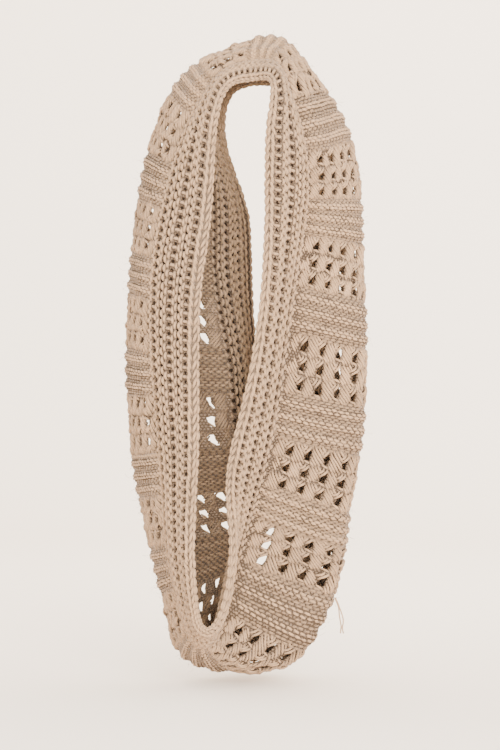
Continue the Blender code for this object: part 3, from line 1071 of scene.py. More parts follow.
@dataclass
class Knitter:
    """Turns stitches on the chart into yarn on the hanging cloth."""

    cloth: Cloth
    finish: Material
    seed: int = 11
    wander_scale: float = 0.09
    wander_detail: float = 2.0
    wander_gain: float = 4.0
    cloth_map: Object = field(init=False)

    def __post_init__(self) -> None:
        """Builds the cloth's map, which every piece samples."""
        self.cloth_map = self.cloth.build_map()

    def knit(self, name: str, places: Places, stitches: Sequence[StitchLines], radius: float,
             sides: int = 5, wander: float = 0.3) -> Object:
        """Lays stitches at their places and gives the yarn its thickness.

        Args:
            name: the piece's name.
            places: where the stitches lie and which of them lies there.
            stitches: the lines of each kind of stitch, in chart mm.
            radius: of the yarn, mm.
            sides: of the yarn's section.
            wander: how far the yarn strays from its course, mm.

        Returns:
            The piece, a plain mesh.
        """
        kinds = bpy.data.collections.new(name + "_stitches")
        for number, stitch in enumerate(stitches):
            kinds.objects.link(stitch.build(f"stitch_{number}"))
        setup = NodeSetup(name + "_nodes", {
            "Cloth": ("NodeSocketObject", self.cloth_map),
            "Stitches": ("NodeSocketCollection", kinds),
            "Yarn Radius": ("NodeSocketFloat", radius * MM),
            "Yarn Sides": ("NodeSocketInt", sides),
            "Wander": ("NodeSocketFloat", wander),
            "Seed": ("NodeSocketInt", self.seed),
            "Yarn": ("NodeSocketMaterial", self.finish),
        })
        lines = self.hang(setup, self.loosen(setup, self.lay(setup)))
        setup.finish(self.thicken(setup, lines), setup.source["Yarn"])
        piece = setup.apply(name, places.mesh(name))
        for item in list(kinds.objects):
            bpy.data.objects.remove(item)
        bpy.data.collections.remove(kinds)
        return piece

    def lay(self, setup: NodeSetup) -> NodeSocket:
        """Puts a stitch at each place.

        Args:
            setup: the tree to add to.

        Returns:
            The stitches' lines on the chart.
        """
        nodes, source = setup.wiring, setup.source
        kinds = nodes.add("GeometryNodeCollectionInfo", {
            "Collection": source["Stitches"], "Separate Children": True, "Reset Children": True})
        laid = nodes.add("GeometryNodeInstanceOnPoints", {
            "Points": source["Geometry"], "Instance": kinds.outputs[0], "Pick Instance": True,
            "Instance Index": nodes.named("kind", "INT"),
            "Rotation": nodes.named("turn", "FLOAT_VECTOR"), "Scale": nodes.named("size", "FLOAT_VECTOR"),
        })
        return nodes.result(nodes.add("GeometryNodeRealizeInstances", {"Geometry": laid.outputs[0]}))

    def loosen(self, setup: NodeSetup, lines: NodeSocket) -> NodeSocket:
        """Lets the lines stray a little from their course.

        Args:
            setup: the tree to add to.
            lines: the lines on the chart.

        Returns:
            The moved lines.
        """
        nodes, source = setup.wiring, setup.source
        noise = nodes.add("ShaderNodeTexNoise", {
            "Vector": nodes.result(nodes.add("GeometryNodeInputPosition")), "W": source["Seed"],
            "Scale": self.wander_scale, "Detail": self.wander_detail,
        }, noise_dimensions="4D")
        stray = nodes.vector("SCALE", nodes.off_middle(noise),
                             nodes.product(source["Wander"], self.wander_gain))
        return nodes.result(nodes.add("GeometryNodeSetPosition", {"Geometry": lines, "Offset": stray}))

    def hang(self, setup: NodeSetup, lines: NodeSocket) -> NodeSocket:
        """Carries lines from the chart onto the hanging cloth.

        Args:
            setup: the tree to add to.
            lines: lines with x along, y across and z out, mm.

        Returns:
            The lines on the cloth, in metres.
        """
        nodes = setup.wiring
        position = nodes.result(nodes.add("GeometryNodeInputPosition"))
        spot = nodes.split(position)
        limits = self.cloth.limits()
        share = [nodes.ranged(spot[axis], limits[axis], clamp=False) for axis in (0, 1)]
        where = nodes.result(nodes.add("ShaderNodeCombineXYZ", {"X": share[0], "Y": share[1]}))
        cloth = nodes.add("GeometryNodeObjectInfo", {"Object": setup.source["Cloth"]}).outputs["Geometry"]

        def sampled(value: NodeSocket) -> NodeSocket:
            """A value of the cloth's map where the line lies on the chart."""
            return nodes.result(nodes.add("GeometryNodeSampleUVSurface", {
                "Mesh": cloth, "Value": value, "UV Map": nodes.named("chart", "FLOAT_VECTOR"),
                "Sample UV": where}, data_type="FLOAT_VECTOR"))

        normal = nodes.add("ShaderNodeVectorMath", {
            0: sampled(nodes.named("out", "FLOAT_VECTOR"))}, operation="NORMALIZE")
        raised = nodes.vector("SCALE", nodes.result(normal), nodes.product(spot["Z"], MM))
        place = nodes.vector("ADD", sampled(position), raised)
        return nodes.result(nodes.add("GeometryNodeSetPosition", {"Geometry": lines, "Position": place}))

    def thicken(self, setup: NodeSetup, lines: NodeSocket) -> NodeSocket:
        """Gives lines the thickness of yarn.

        Args:
            setup: the tree to add to.
            lines: lines on the cloth, in metres.

        Returns:
            The yarn, with `run` along it, mm, and `around` its section.
        """
        nodes, source = setup.wiring, setup.source
        line = nodes.result(nodes.add("GeometryNodeMeshToCurve", {"Mesh": lines}))
        run = nodes.math("DIVIDE", nodes.add("GeometryNodeSplineParameter").outputs["Length"], MM)
        circle = nodes.add("GeometryNodeCurvePrimitiveCircle", {
            "Resolution": source["Yarn Sides"], "Radius": 1.0})
        position = nodes.result(nodes.add("GeometryNodeInputPosition"))
        yarn = nodes.add("GeometryNodeCurveToMesh", {
            "Curve": nodes.stored(line, "run", run), "Fill Caps": True,
            "Profile Curve": nodes.stored(nodes.result(circle), "around", position, "FLOAT_VECTOR"),
            "Scale": nodes.product(nodes.named("thick"), source["Yarn Radius"])})
        return nodes.result(nodes.add("GeometryNodeSetShadeSmooth", {"Geometry": yarn.outputs[0]}))

    def put_away(self) -> None:
        """Removes the cloth's map."""
        bpy.data.objects.remove(self.cloth_map)


# ---- the knit ----


class Knitted:
    """What the knitted sub-assemblies share: how their pieces are dressed."""

    slot: str = "centre_knit"

    def dress(self, piece: Object) -> None:
        """Rides a piece on the body."""
        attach(piece, "root")


class Stitch(Enum):
    """Kinds of stitches in a border."""

    KNIT = 0
    PURL = 1
    CHAIN = 2
    EDGE = 3
    SEAM = 4


@dataclass
class RibBorder(Knitted):
    """Ribbed border down one edge, knitted on both faces, with a chain at its selvedge."""

    chart: Chart
    edge: Edge
    yarn_radius: float = 1.55
    outer_height: float = 2.5
    purl_drop: float = 0.3
    purl_shift: float = -0.45
    inner_height: float = -0.5
    edge_inset: float = 2.0
    edge_height: float = 1.6
    inner_edge_height: float = 0.2
    seam_inset: float = 2.4
    slot: str = "border_knit"

    def stitches(self) -> list[StitchLines]:
        """The lines of each Stitch.

        Returns:
            One for each Stitch, in the order of their values.
        """
        knit, purl, chain, edge, seam = (StitchLines() for _ in Stitch)
        # The low levels give the strands painted shade at their ends, strongest on knit and purl.
        knit.pair((4.9, 2.4, -1.7), (2.6, 1.9, 2.3), (-2.0, 2.3, 2.3), (-4.7, 3.5, -1.7),
                  steps=5, low=0.15)
        purl.pair((4.8, 4.7, -1.5), (2.2, 4.8, 2.0), (-2.2, 4.9, 2.0), (-4.8, 5.3, -1.5),
                  steps=4, low=0.15)
        purl.strand((-0.6, -3.6, -1.6), (0.9, -1.4, 0.9), (0.9, 1.4, 0.9), (-0.6, 3.6, -1.6), steps=3)
        chain.pair((-6.2, 0.9, -1.2), (-2.4, 1.4, 1.0), (2.0, 3.2, 1.2), (6.4, 4.0, -1.6), steps=5)
        edge.strand((-5.8, -0.8, -0.4), (-2.2, 1.0, 0.8), (2.2, 1.0, 0.8), (5.8, -0.8, -0.4),
                    steps=4, width=0.9)
        seam.strand((2.8, -0.8, -1.8), (1.6, 0.0, 1.6), (-1.6, 0.0, 1.6), (-2.8, 0.8, -1.8),
                    steps=4, low=0.3)
        return [knit, purl, chain, edge, seam]

    def columns(self) -> list[tuple[float, Stitch, Stitch]]:
        """The columns of stitches from the seam to the selvedge.

        Returns:
            For each its distance from the seam, mm, its outer stitch and its inner one.
        """
        chart = self.chart
        columns = [(-self.seam_inset, Stitch.SEAM, Stitch.SEAM)]
        half_pitch = chart.rib_pitch / 2.0
        last = chart.border_width - chart.chain_inset
        for number in range(int((last - chart.rib_start) / half_pitch) + 1):
            pair = (Stitch.PURL, Stitch.KNIT) if number % 2 == 0 else (Stitch.KNIT, Stitch.PURL)
            columns.append((chart.rib_start + number * half_pitch, *pair))
        return columns + [(last, Stitch.CHAIN, Stitch.EDGE)]

    def stretch(self, start: float, end: float) -> Places:
        """Lays out the stitches of one stretch.

        Args:
            start: its first place round the loop, in repeats.
            end: its last place.

        Returns:
            Their places.
        """
        chart, side = self.chart, self.edge.value
        places = Places(chart)
        first, last = (round(value * chart.courses) for value in (start, end))
        for course in range(first, last):
            at = (course + 0.5) / chart.courses
            between = at + self.purl_shift / chart.courses
            for offset, outer, inner in self.columns():
                across = side * (chart.centre_half + offset)
                if outer is Stitch.PURL:
                    places.add(between, across, self.outer_height - self.purl_drop, outer.value)
                else:
                    places.add(at, across, self.outer_height, outer.value)
                inner_at = between if inner is Stitch.KNIT else at
                places.add(inner_at, across, self.inner_height, inner.value, size=(1.0, 1.0, -1.0))
            across = side * (chart.half_width - self.edge_inset)
            for height, out in ((self.edge_height, 1.0), (self.inner_edge_height, -1.0)):
                places.add(at, across, height, Stitch.EDGE.value, size=(1.0, side, out))
        return places

    def build(self, knitter: Knitter) -> list[Object]:
        """Builds the border in three stretches, parted at the joining seam and near the top.

        Args:
            knitter: lays the yarn on the cloth.

        Returns:
            The three pieces.
        """
        chart = self.chart
        ends = {
            "lower": (chart.part_at, chart.join_at),
            "upper": (chart.join_at, chart.repeats),
            "top": (0.0, chart.part_at),
        }
        return [
            knitter.knit(f"{self.edge.name.lower()}_rib_{label}", self.stretch(start, end),
                         self.stitches(), self.yarn_radius)
            for label, (start, end) in ends.items()
        ]


class Bump(Enum):
    """Kinds of purl bumps in a welt."""

    PLUMP = 0
    FLAT = 1


@dataclass
class Welts(Knitted):
    """Ridges across the centre, each two rows of plump bumps with slack rows between, the crests with
    painted light and the slack rows with painted shade.
    """

    chart: Chart
    row_steps: tuple[float, ...] = (-6.9, -4.1, -1.4, 1.4, 4.1)
    crest_reach: float = 2.0
    spare_steps: tuple[float, ...] = (0.2, 3.0)
    columns: int = 28
    half_reach: float = 86.5
    brick_shift: float = 0.25
    yarn_radius: float = 1.65
    wander: float = 0.25
    height: float = 1.6
    # Painted light on the crest rows; painted shade on the slack rows.
    crest_painted_light: float = 1.08
    slack_size: float = 0.84
    slack_drop: float = 0.5
    slack_painted_shade: float = 0.76
    fine_steps: int = 601

    def stitches(self) -> list[StitchLines]:
        """The lines of each Bump.

        Returns:
            One for each Bump, in the order of their values.
        """
        plump, flat = (StitchLines() for _ in Bump)
        # Strong painted shade at the bumps' ends.
        plump.strand((-0.3, -3.3, -1.3), (-0.4, -1.8, 1.5), (0.4, 1.8, 1.5), (0.3, 3.3, -1.3),
                     steps=4, low=0.08)
        flat.strand((0.3, -3.2, -1.0), (0.2, -1.6, 0.9), (-0.2, 1.6, 0.9), (-0.3, 3.2, -1.0),
                    steps=3, low=0.1)
        return [plump, flat]

    def rows(self) -> list[tuple[float, float, float, bool]]:
        """Rows at even steps over each ridge.

        Returns:
            For each row its offset, in repeats, rise, mm, slope, and whether it lies on a crest.
        """
        chart = self.chart
        fine = np.linspace(-0.5, 0.5, self.fine_steps) * chart.welt_share
        rise = chart.rise(fine, 0.0)
        along = fine * chart.repeat_length
        length = np.append(0.0, np.cumsum(np.hypot(np.diff(along), np.diff(rise))))
        slope = np.gradient(rise, along)
        rows = []
        for ridge in range(chart.ridges):
            crest = (ridge + 0.5) / chart.ridges * length[-1]
            for step in self.row_steps:
                values = [float(np.interp(crest + step, length, curve)) for curve in (fine, rise, slope)]
                rows.append((*values, abs(step) < self.crest_reach))
        past = [chart.welt_share / 2.0 + step / chart.repeat_length for step in self.spare_steps]
        return rows + [(offset, 0.0, 0.0, False) for offset in (-past[1], *past)]

    def build(self, knitter: Knitter, name: str, first: int, last: int) -> Object:
        """Builds the welts from the first to the last, not included.

        Args:
            knitter: lays the yarn on the cloth.
            name: the piece's name.
            first: number of the first welt.
            last: number of the welt after the last.

        Returns:
            The piece.
        """
        places = Places(self.chart)
        pitch = 2.0 * self.half_reach / self.columns
        for welt in range(first, last):
            for number, (offset, rise, slope, crest) in enumerate(self.rows()):
                # Slack rows get painted shade, crest rows painted light.
                kind, size, drop, shade = Bump.FLAT, self.slack_size, self.slack_drop, self.slack_painted_shade
                if crest:
                    kind, size, drop, shade = Bump.PLUMP, 1.0, 0.0, self.crest_painted_light
                shift = self.brick_shift if number % 2 else -self.brick_shift
                for column in range(self.columns):
                    across = (column + 0.5 + shift - self.columns / 2.0) * pitch
                    fade = float(self.chart.fade(across))
                    places.add(welt + offset, across, self.height + rise * fade - drop, kind.value,
                               tilt=-math.atan(slope * fade), size=(size, 1.0, size), shade=shade)
        return knitter.knit(name, places, self.stitches(), self.yarn_radius, wander=self.wander)


class LaceUnit(Enum):
    """Kinds of repeated units in the lace."""

    CELL = 0
    LEAF = 1


Thread = namedtuple("Thread", "start end rise")


@dataclass
class Lace(Knitted):
    """Leaves of slanting strands between columns of eyelets.

    A leaf's threads have their start and end as (along, across) from the eyelet's middle,
    and rise over the ground between them.
    """

    chart: Chart
    yarn_radius: float = 1.36
    wander: float = 0.6
    jitter: float = 0.07
    height: float = 1.2
    edge_inset: float = 9.0
    threads: tuple[Thread, ...] = (
        Thread((-8.0, 3.0), (9.8, 15.2), 1.5),
        Thread((-10.4, 5.2), (4.8, 14.0), 2.5),
        Thread((-10.2, 8.3), (0.2, 14.4), 1.5),
        Thread((-10.8, 11.0), (-4.0, 15.6), 2.2),
        Thread((-4.2, 3.2), (10.8, 12.2), 2.4),
        Thread((0.6, 3.0), (11.0, 9.2), 1.4),
        Thread((4.6, 2.4), (11.2, 6.4), 2.0),
    )
    thread_start: float = -0.6
    thread_end: float = -1.5
    # Painted shade at the threads' ends, where they dip.
    thread_shade_level: float = 0.3
    first_control: tuple[float, float] = (0.34, 0.22)
    last_control: tuple[float, float] = (0.70, 0.74)
    long_thread: float = 11.0
    second_loop: float = 3.0

    def leaf(self) -> StitchLines:
        """The slanting threads between one column of eyelets and the next.

        Returns:
            Their lines.
        """
        lines = StitchLines()
        for thread in self.threads:
            start, run = np.array(thread.start), np.subtract(thread.end, thread.start)
            first, last = start + run * self.first_control, start + run * self.last_control
            lines.strand(
                (*start, self.thread_start), (*first, thread.rise), (*last, thread.rise),
                (*thread.end, self.thread_end), steps=4 if run[0] > self.long_thread else 3,
                low=self.thread_shade_level,
            )
        return lines

    def cell(self) -> StitchLines:
        """The threads round one eyelet: a leaf, the loops over the hole and a bar under it.

        Returns:
            Their lines.
        """
        lines = self.leaf()
        # The loops and the bar carry the strands' usual painted shade at their ends.
        for shift, width in ((0.0, 1.0), (self.second_loop, 0.9)):
            lines.strand(
                (-8.8 - 0.3 * shift, 2.2 - shift, 0.4), (-6.6, 2.2 - shift, 3.2),
                (-3.8, -1.8 - shift, 3.0), (-0.2 - 0.8 * shift, -3.4 - shift, -0.8),
                steps=4, width=width,
            )
        lines.strand((5.4, -4.0, -0.8), (6.0, -2.2, 1.2), (7.0, 0.6, 1.2), (8.4, 3.0, -0.8),
                     steps=4, width=0.85)
        return lines

    def build(self, knitter: Knitter, name: str, first: int, last: int) -> Object:
        """Builds the lace of the repeats from the first to the last, not included.

        Args:
            knitter: lays the yarn on the cloth.
            name: the piece's name.
            first: number of the first repeat.
            last: number of the repeat after the last.

        Returns:
            The piece.
        """
        chart = self.chart
        places = Places(chart, jitter=self.jitter)
        for repeat in range(first, last):
            for row in range(chart.lace_rows):
                at = repeat + chart.lace_row(row)
                for column in range(chart.eyelet_columns):
                    places.add(at, chart.eyelet(column), self.height, LaceUnit.CELL.value)
                places.add(at, chart.eyelet(-0.5) - self.edge_inset, self.height, LaceUnit.LEAF.value)
        stitches = [self.cell(), self.leaf()]
        return knitter.knit(name, places, stitches, self.yarn_radius, wander=self.wander)


@dataclass
class Centre(Knitted):
    """The middle of the band, where welts and lace take turns, in three stretches."""

    chart: Chart
    stretches: tuple[tuple[int, int], ...] = ((0, 5), (5, 10), (10, 14))

    def build(self, knitter: Knitter) -> list[Object]:
        """Builds the welts and the lace.

        Args:
            knitter: lays the yarn on the cloth.

        Returns:
            The welts and the lace of each stretch, in turn.
        """
        welts, lace = Welts(self.chart), Lace(self.chart)
        pieces = []
        for number, (first, last) in enumerate(self.stretches):
            pieces.append(welts.build(knitter, f"welts_{number}", first, last))
            pieces.append(lace.build(knitter, f"lace_{number}", first, last))
        return pieces


@dataclass
class JoinSeam(Knitted):
    """The row of slanting stitches that joins the band's two ends across its centre."""

    chart: Chart
    pitch: float = 5.0
    height: float = 2.6
    yarn_radius: float = 1.5

    def build(self, knitter: Knitter) -> list[Object]:
        """Builds the whole seam.

        Args:
            knitter: lays the yarn on the cloth.

        Returns:
            The one piece.
        """
        lines = StitchLines()
        # Painted shade at the stitch's ends.
        lines.strand((-1.5, -2.8, -1.4), (-0.8, -1.2, 1.4), (0.8, 1.2, 1.4), (1.5, 2.8, -1.4),
                     steps=4, low=0.3)
        places = Places(self.chart)
        reach = self.chart.centre_half
        for across in np.arange(self.pitch - reach, reach, self.pitch):
            places.add(self.chart.join_at, float(across), self.height)
        return [knitter.knit("join_seam", places, [lines], self.yarn_radius)]


@dataclass
class Fuzz(Knitted):
    """Short stray hairs over the outside of the knit."""

    chart: Chart
    hairs: int = 1500
    height: float = 3.0
    radius: float = 0.11
    sides: int = 3
    jitter: float = 0.3
    full_spin: float = 6.28
    seed: int = 29

    def build(self, knitter: Knitter) -> list[Object]:
        """Builds all the hairs.

        Args:
            knitter: lays them on the cloth.

        Returns:
            The one piece.
        """
        bent, curled = StitchLines(), StitchLines()
        # The hairs carry the strands' painted shade at their ends.
        bent.strand((0.0, 0.0, 0.0), (0.6, 0.2, 2.2), (2.4, 0.8, 3.2), (3.6, 2.2, 3.6), steps=3)
        curled.strand((0.0, 0.0, 0.0), (-0.8, 0.4, 1.8), (-0.2, 2.2, 3.6), (1.8, 1.6, 4.4), steps=3)
        hairs = [bent, curled]
        random = np.random.default_rng(self.seed)
        places = Places(self.chart, jitter=self.jitter)
        reach = self.chart.half_width
        for at, across in random.uniform((0.0, -reach), (self.chart.repeats, reach), (self.hairs, 2)):
            height = self.height + float(self.chart.rise(at, across))
            kind = int(random.integers(len(hairs)))
            spin = random.uniform(0.0, self.full_spin)
            places.add(float(at), float(across), height, kind, spin=spin)
        return [knitter.knit("fuzz", places, hairs, self.radius, sides=self.sides)]


# ---- the ground ----


class Row(Enum):
    """Kinds of chart rows of the ground."""

    WELT = auto()
    EYELET_START = auto()
    EYELET_MIDDLE = auto()
    EYELET_END = auto()


class Column(Enum):
    """Kinds of chart columns of the ground."""

    PLAIN = auto()
    EYELET_LOW = auto()
    EYELET_HIGH = auto()


@dataclass
class Ground(Knitted):
    """The thin shell that the stitches stand on, its eyelets cut through."""

    chart: Chart
    height: float = 1.2
    thickness: float = 0.7
    rise_share: float = 0.75
    lines_per_ridge: int = 5
    border_columns: int = 8
    selvedge_inset: float = 1.6
    eyelet_stray: float = 0.8
    seed: int = 3

    def rows(self) -> list[tuple[float, Row]]:
        """Chart rows round the whole loop.

        Returns:
            For each its place, in repeats, and its kind. The last lies on the first.
        """
        chart = self.chart
        count = chart.ridges * self.lines_per_ridge
        steps = [chart.welt_share * (i / count - 0.5) for i in range(count + 1)]
        offsets = [(step, Row.WELT) for step in steps]
        reach = chart.eyelet_length / chart.repeat_length / 2.0
        for number in range(chart.lace_rows):
            middle = chart.lace_row(number)
            offsets.append((middle - reach, Row.EYELET_START))
            offsets.append((middle, Row.EYELET_MIDDLE))
            offsets.append((middle + reach, Row.EYELET_END))
        rows = [(repeat + offset, kind) for repeat in range(chart.repeats) for offset, kind in offsets]
        return rows + [(rows[0][0] + chart.repeats, rows[0][1])]

    def columns(self) -> list[tuple[float, Column]]:
        """Chart columns from the front selvedge to the back.

        Returns:
            For each its place across, mm, and its kind.
        """
        chart = self.chart
        reach = chart.half_width - self.selvedge_inset
        border = np.linspace(reach, chart.centre_half, self.border_columns + 1).tolist()
        columns = [(-across, Column.PLAIN) for across in border]
        for number in range(chart.eyelet_columns):
            middle = chart.eyelet(number)
            columns.append((middle - chart.eyelet_width / 2.0, Column.EYELET_LOW))
            columns.append((middle + chart.eyelet_width / 2.0, Column.EYELET_HIGH))
            if number < chart.eyelet_columns - 1:
                columns.append((middle + chart.eyelet_pitch / 2.0, Column.PLAIN))
        return columns + [(across, Column.PLAIN) for across in reversed(border)]

    def grid(self, rows: list[tuple[float, Row]],
             columns: list[tuple[float, Column]]) -> tuple[np.ndarray, np.ndarray]:
        """Chart places of the surface's points, with each eyelet leaning and a little uneven.

        Args:
            rows: the chart rows.
            columns: the chart columns.

        Returns:
            Places round the loop, in repeats, and across, mm, one for each row and column.
        """
        at, across = np.meshgrid([at for at, _ in rows], [across for across, _ in columns], indexing="ij")
        lean = {Row.EYELET_START: self.chart.eyelet_lean, Row.EYELET_END: -self.chart.eyelet_lean}
        stray = np.random.default_rng(self.seed).normal(0.0, self.eyelet_stray, across.shape)
        for i, (_, row) in enumerate(rows):
            for j, (_, column) in enumerate(columns):
                if row is not Row.WELT and column is not Column.PLAIN:
                    across[i, j] += lean.get(row, 0.0) + stray[i, j]
        return at, across

    def build(self, cloth: Cloth, finish: Material) -> Object:
        """Builds the shell round the whole loop.

        Args:
            cloth: the hanging cloth.
            finish: the shell's material.

        Returns:
            The piece.
        """
        rows, columns = self.rows(), self.columns()
        at, across = self.grid(rows, columns)
        height = self.height + self.chart.rise(at, across) * self.rise_share
        points = cloth.place(at, across, height).reshape(-1, 3)
        spots = np.stack([at * self.chart.repeat_length, across, 0.0 * at], axis=-1).reshape(-1, 3)
        count = len(columns)
        faces = []
        for i, (_, row) in enumerate(rows[:-1]):
            for j, (_, column) in enumerate(columns[:-1]):
                if column is Column.EYELET_LOW and row in (Row.EYELET_START, Row.EYELET_MIDDLE):
                    continue
                corner = i * count + j
                faces.append((corner, corner + count, corner + count + 1, corner + 1))
        return self.shell(points, spots, faces, finish)

    def shell(self, points: np.ndarray, spots: np.ndarray, faces: list[tuple[int, ...]],
              finish: Material) -> Object:
        """Gives the surface its thickness, its places on the chart and the side that it shows.

        Args:
            points: the surface's points, m.
            spots: their places on the chart, mm.
            faces: the points of each face.
            finish: the shell's material.

        Returns:
            The piece.
        """
        mesh = bpy.data.meshes.new("ground")
        mesh.from_pydata(points.tolist(), [], faces)
        mesh.shade_smooth()
        mesh.materials.append(finish)
        item = linked("ground", mesh)
        inside = item.vertex_groups.new(name="inside")
        solid = item.modifiers.new("thickness", "SOLIDIFY")
        solid.thickness = self.thickness * MM
        solid.offset = 0.0
        solid.shell_vertex_group = inside.name
        piece = plain_copy(item, "ground_shell")
        plain = piece.data
        add_attribute(plain, "chart", np.tile(spots, (2, 1)))
        side = [-1.0 if vertex.groups else 1.0 for vertex in plain.vertices]
        add_attribute(plain, "side", np.array(side))
        return piece

    def declare(self, piece: Object, knitted: list[Object]) -> None:
        """Hides the band's solids, whose place the shell and the knit on it take.

        Args:
            piece: the shell; not used.
            knitted: the pieces that lie on it; not used.
        """
        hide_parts(*CLOTH_NODES)


@dataclass
class YarnTail(Knitted):
    """The loose yarn end at the lower right: two plies that part and meet again."""

    ply_radius: float = 0.68
    sides: int = 7
    together: float = 0.42
    part_share: float = 0.38
    part_width: float = 1.25
    part_waves: float = 1.35
    route: tuple[tuple[float, float, float], ...] = (
        (87.3, 4.7, -564.9), (88.0, 4.9, -566.6), (89.0, 5.2, -568.9), (90.2, 5.4, -571.8),
        (91.3, 5.5, -575.2), (92.3, 5.5, -579.1), (93.2, 5.4, -583.2), (94.0, 5.3, -587.2),
        (94.3, 5.2, -590.9), (94.1, 5.2, -594.6), (94.0, 5.2, -598.1), (94.3, 5.2, -601.2),
    )
    slot: str = "loose_yarn"

    def course(self, side: int) -> np.ndarray:
        """The middle of one ply.

        Args:
            side: -1 for the left ply and +1 for the right one.

        Returns:
            Its points, mm, from the cloth down.
        """
        middle = np.array(self.route)
        share = np.linspace(0.0, 1.0, len(middle))
        past = np.clip((share - self.part_share) / (1.0 - self.part_share), 0.0, 1.0)
        apart = self.together + self.part_width * np.abs(np.sin(self.part_waves * math.pi * past))
        return middle + np.outer(side * apart, (1.0, 0.0, 0.0))

    def ply(self, name: str, side: int, finish: Material) -> Object:
        """Builds one ply as a mesh tube.

        Args:
            name: the piece's name.
            side: -1 for the left ply and +1 for the right one.
            finish: the yarn's material.

        Returns:
            The piece.
        """
        line = self.course(side)
        ahead = np.gradient(line, axis=0)
        ahead /= np.linalg.norm(ahead, axis=1)[:, None]
        over = np.cross(ahead, (0.0, 1.0, 0.0))
        over /= np.linalg.norm(over, axis=1)[:, None]
        up = np.cross(over, ahead)
        turn = np.linspace(0.0, 2.0 * math.pi, self.sides, endpoint=False)
        around = np.stack([np.cos(turn), np.sin(turn), 0.0 * turn], axis=1)
        rings = line[:, None] + self.ply_radius * (
            over[:, None] * around[None, :, :1] + up[:, None] * around[None, :, 1:2])
        index = np.arange(len(line) * self.sides).reshape(len(line), self.sides)
        after = np.roll(index, -1, axis=1)
        faces = np.stack([index[:-1], after[:-1], after[1:], index[1:]], axis=-1).reshape(-1, 4).tolist()
        faces += [index[0, ::-1].tolist(), index[-1].tolist()]
        mesh = bpy.data.meshes.new(name)
        mesh.from_pydata((rings.reshape(-1, 3) * MM).tolist(), [], faces)
        mesh.shade_smooth()
        mesh.materials.append(finish)
        add_attribute(mesh, "around", np.tile(around, (len(line), 1)))
        add_attribute(mesh, "run", np.repeat(run_along(line), self.sides))
        for attribute in ("level", "shade"):
            add_attribute(mesh, attribute, np.ones(index.size))
        return linked(name, mesh)

    def build(self, finish: Material) -> list[Object]:
        """Builds both plies.

        Args:
            finish: the yarn's material.

        Returns:
            The left ply and the right one.
        """
        return [self.ply(f"yarn_end_{label}", side, finish) for label, side in (("left", -1), ("right", 1))]

    def declare(self, left: Object, right: Object) -> None:
        """Hides the tail's solid, whose place both plies take.

        Args:
            left: the left ply; not used.
            right: the right ply; not used.
        """
        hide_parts("yarn_tail")


# ---- the studio ----


@dataclass(frozen=True)
class SoftBox:
    """A square lamp that faces aim."""

    name: str
    place: tuple[float, float, float]
    aim: tuple[float, float, float]
    size: float
    watts: float

    def build(self) -> None:
        """Builds the lamp and turns it to its aim."""
        data = bpy.data.lights.new(self.name, "AREA")
        data.size = self.size
        data.energy = self.watts
        item = linked(self.name, data)
        item.location = self.place
        away = np.subtract(self.place, self.aim)
        down = math.atan2(math.hypot(away[0], away[1]), away[2])
        item.rotation_euler = (down, 0.0, math.atan2(away[1], away[0]) + math.pi / 2.0)


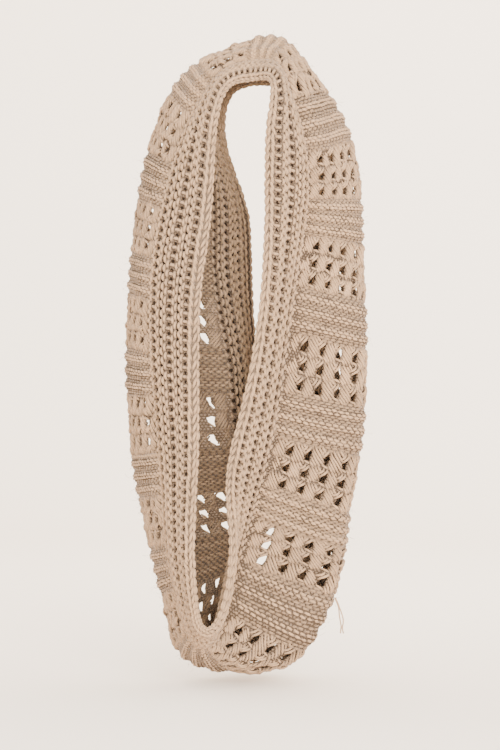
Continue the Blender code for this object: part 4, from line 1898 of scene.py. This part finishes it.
@dataclass
class Studio:
    """Pale floor and backdrop in one sweep, soft light and the camera. Sizes in metres.

    The camera looks level, from azimuth degrees to the right of the front. At the scarf
    one pixel of the picture is scale mm.
    """

    scale: float = 1.025
    distance: float = 2.3
    azimuth: float = 10.0
    middle_z: float = -0.3377
    image_height: int = 750
    sensor: float = 36.0
    floor_z: float = -0.655
    floor_front: float = -6.0
    floor_back: float = 2.0
    floor_side: float = 12.0
    bend: float = 1.5
    bend_steps: int = 12
    wall_height: float = 5.0
    paper: MattFinish = MattFinish("backdrop_paper", (1.0, 0.875, 0.74))
    sky_color: tuple[float, float, float] = (1.0, 0.97, 0.93)
    sky_low: float = 3.7
    sky_high: float = 1.7
    lamps: tuple[SoftBox, ...] = (
        SoftBox("key", place=(1.3, -2.6, 0.3), aim=(0.0, 0.0, -0.33), size=1.2, watts=180.0),
        SoftBox("fill", place=(0.35, -2.7, -0.4), aim=(0.0, 0.0, -0.33), size=0.9, watts=150.0),
        SoftBox("wall", place=(0.0, 0.9, 1.6), aim=(0.0, 3.2, 0.0), size=2.4, watts=110.0),
    )

    def camera(self) -> None:
        """Creates the camera and makes it the scene's."""
        data = bpy.data.cameras.new("camera")
        data.sensor_width = self.sensor
        data.lens = self.sensor * self.distance / (self.image_height * self.scale * MM)
        item = linked("camera", data)
        turn = math.radians(self.azimuth)
        item.location = (self.distance * math.sin(turn), -self.distance * math.cos(turn), self.middle_z)
        item.rotation_euler = (math.pi / 2.0, 0.0, turn)
        bpy.context.scene.camera = item

    def backdrop(self) -> None:
        """Builds a large plain floor that curves up into a wall."""
        profile = [(self.floor_front, 0.0), (self.floor_back, 0.0)]
        for step in range(1, self.bend_steps + 1):
            turn = step / self.bend_steps * math.pi / 2.0
            y = self.floor_back + self.bend * math.sin(turn)
            profile.append((y, self.bend * (1.0 - math.cos(turn))))
        profile.append((self.floor_back + self.bend, self.wall_height))
        side = self.floor_side
        vertices = [(x, y, z + self.floor_z) for y, z in profile for x in (-side, side)]
        faces = [(2 * i, 2 * i + 1, 2 * i + 3, 2 * i + 2) for i in range(len(profile) - 1)]
        mesh = bpy.data.meshes.new("backdrop")
        mesh.from_pydata(vertices, [], faces)
        mesh.shade_smooth()
        mesh.materials.append(self.paper.build())
        linked("backdrop", mesh)

    def sky(self) -> None:
        """Builds an even light from all round, weaker from above."""
        world = bpy.data.worlds.new("studio")
        world.use_nodes = True
        tree = Wiring(world.node_tree)
        light = tree.nodes["Background"].inputs
        light["Color"].default_value = (*self.sky_color, 1.0)
        height = tree.split(tree.add("ShaderNodeTexCoord").outputs["Generated"])["Z"]
        tree.link(tree.ranged(height, wanted=(self.sky_low, self.sky_high)), light["Strength"])
        bpy.context.scene.world = world

    def build(self) -> None:
        """Builds the whole studio."""
        self.camera()
        self.backdrop()
        for lamp in self.lamps:
            lamp.build()
        self.sky()


# ---- the scarf ----


def report(piece: Object) -> None:
    """Logs a piece with its count of triangles."""
    triangles = sum(len(face.vertices) - 2 for face in piece.data.polygons)
    log.info("%s: %d triangles", piece.name, triangles)


def main() -> None:
    """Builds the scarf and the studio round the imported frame, and logs each piece."""
    logging.basicConfig(level=logging.INFO, format="%(message)s")
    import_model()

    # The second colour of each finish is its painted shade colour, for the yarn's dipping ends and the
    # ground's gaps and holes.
    yarn = YarnFinish("wool_yarn", color=(0.315, 0.192, 0.103), painted_shade_color=(0.06, 0.035, 0.019)).build()
    knit = GroundFinish("knit_ground", color=(0.265, 0.177, 0.115), painted_shade_color=(0.03, 0.017, 0.009)).build()
    cloth = Cloth(CHART)
    ground = Ground(CHART)
    shell = ground.build(cloth, knit)
    report(shell)

    knitter = Knitter(cloth, yarn)
    knitted = []
    borders = [RibBorder(CHART, edge) for edge in Edge]
    for part in (*borders, Centre(CHART), JoinSeam(CHART), Fuzz(CHART)):
        for piece in part.build(knitter):
            part.dress(piece)
            report(piece)
            knitted.append(piece)
    knitter.put_away()
    ground.dress(shell)
    ground.declare(shell, knitted)

    tail = YarnTail()
    plies = tail.build(yarn)
    for ply in plies:
        tail.dress(ply)
        report(ply)
    tail.declare(*plies)

    Studio().build()


if __name__ == "__main__":
    main()
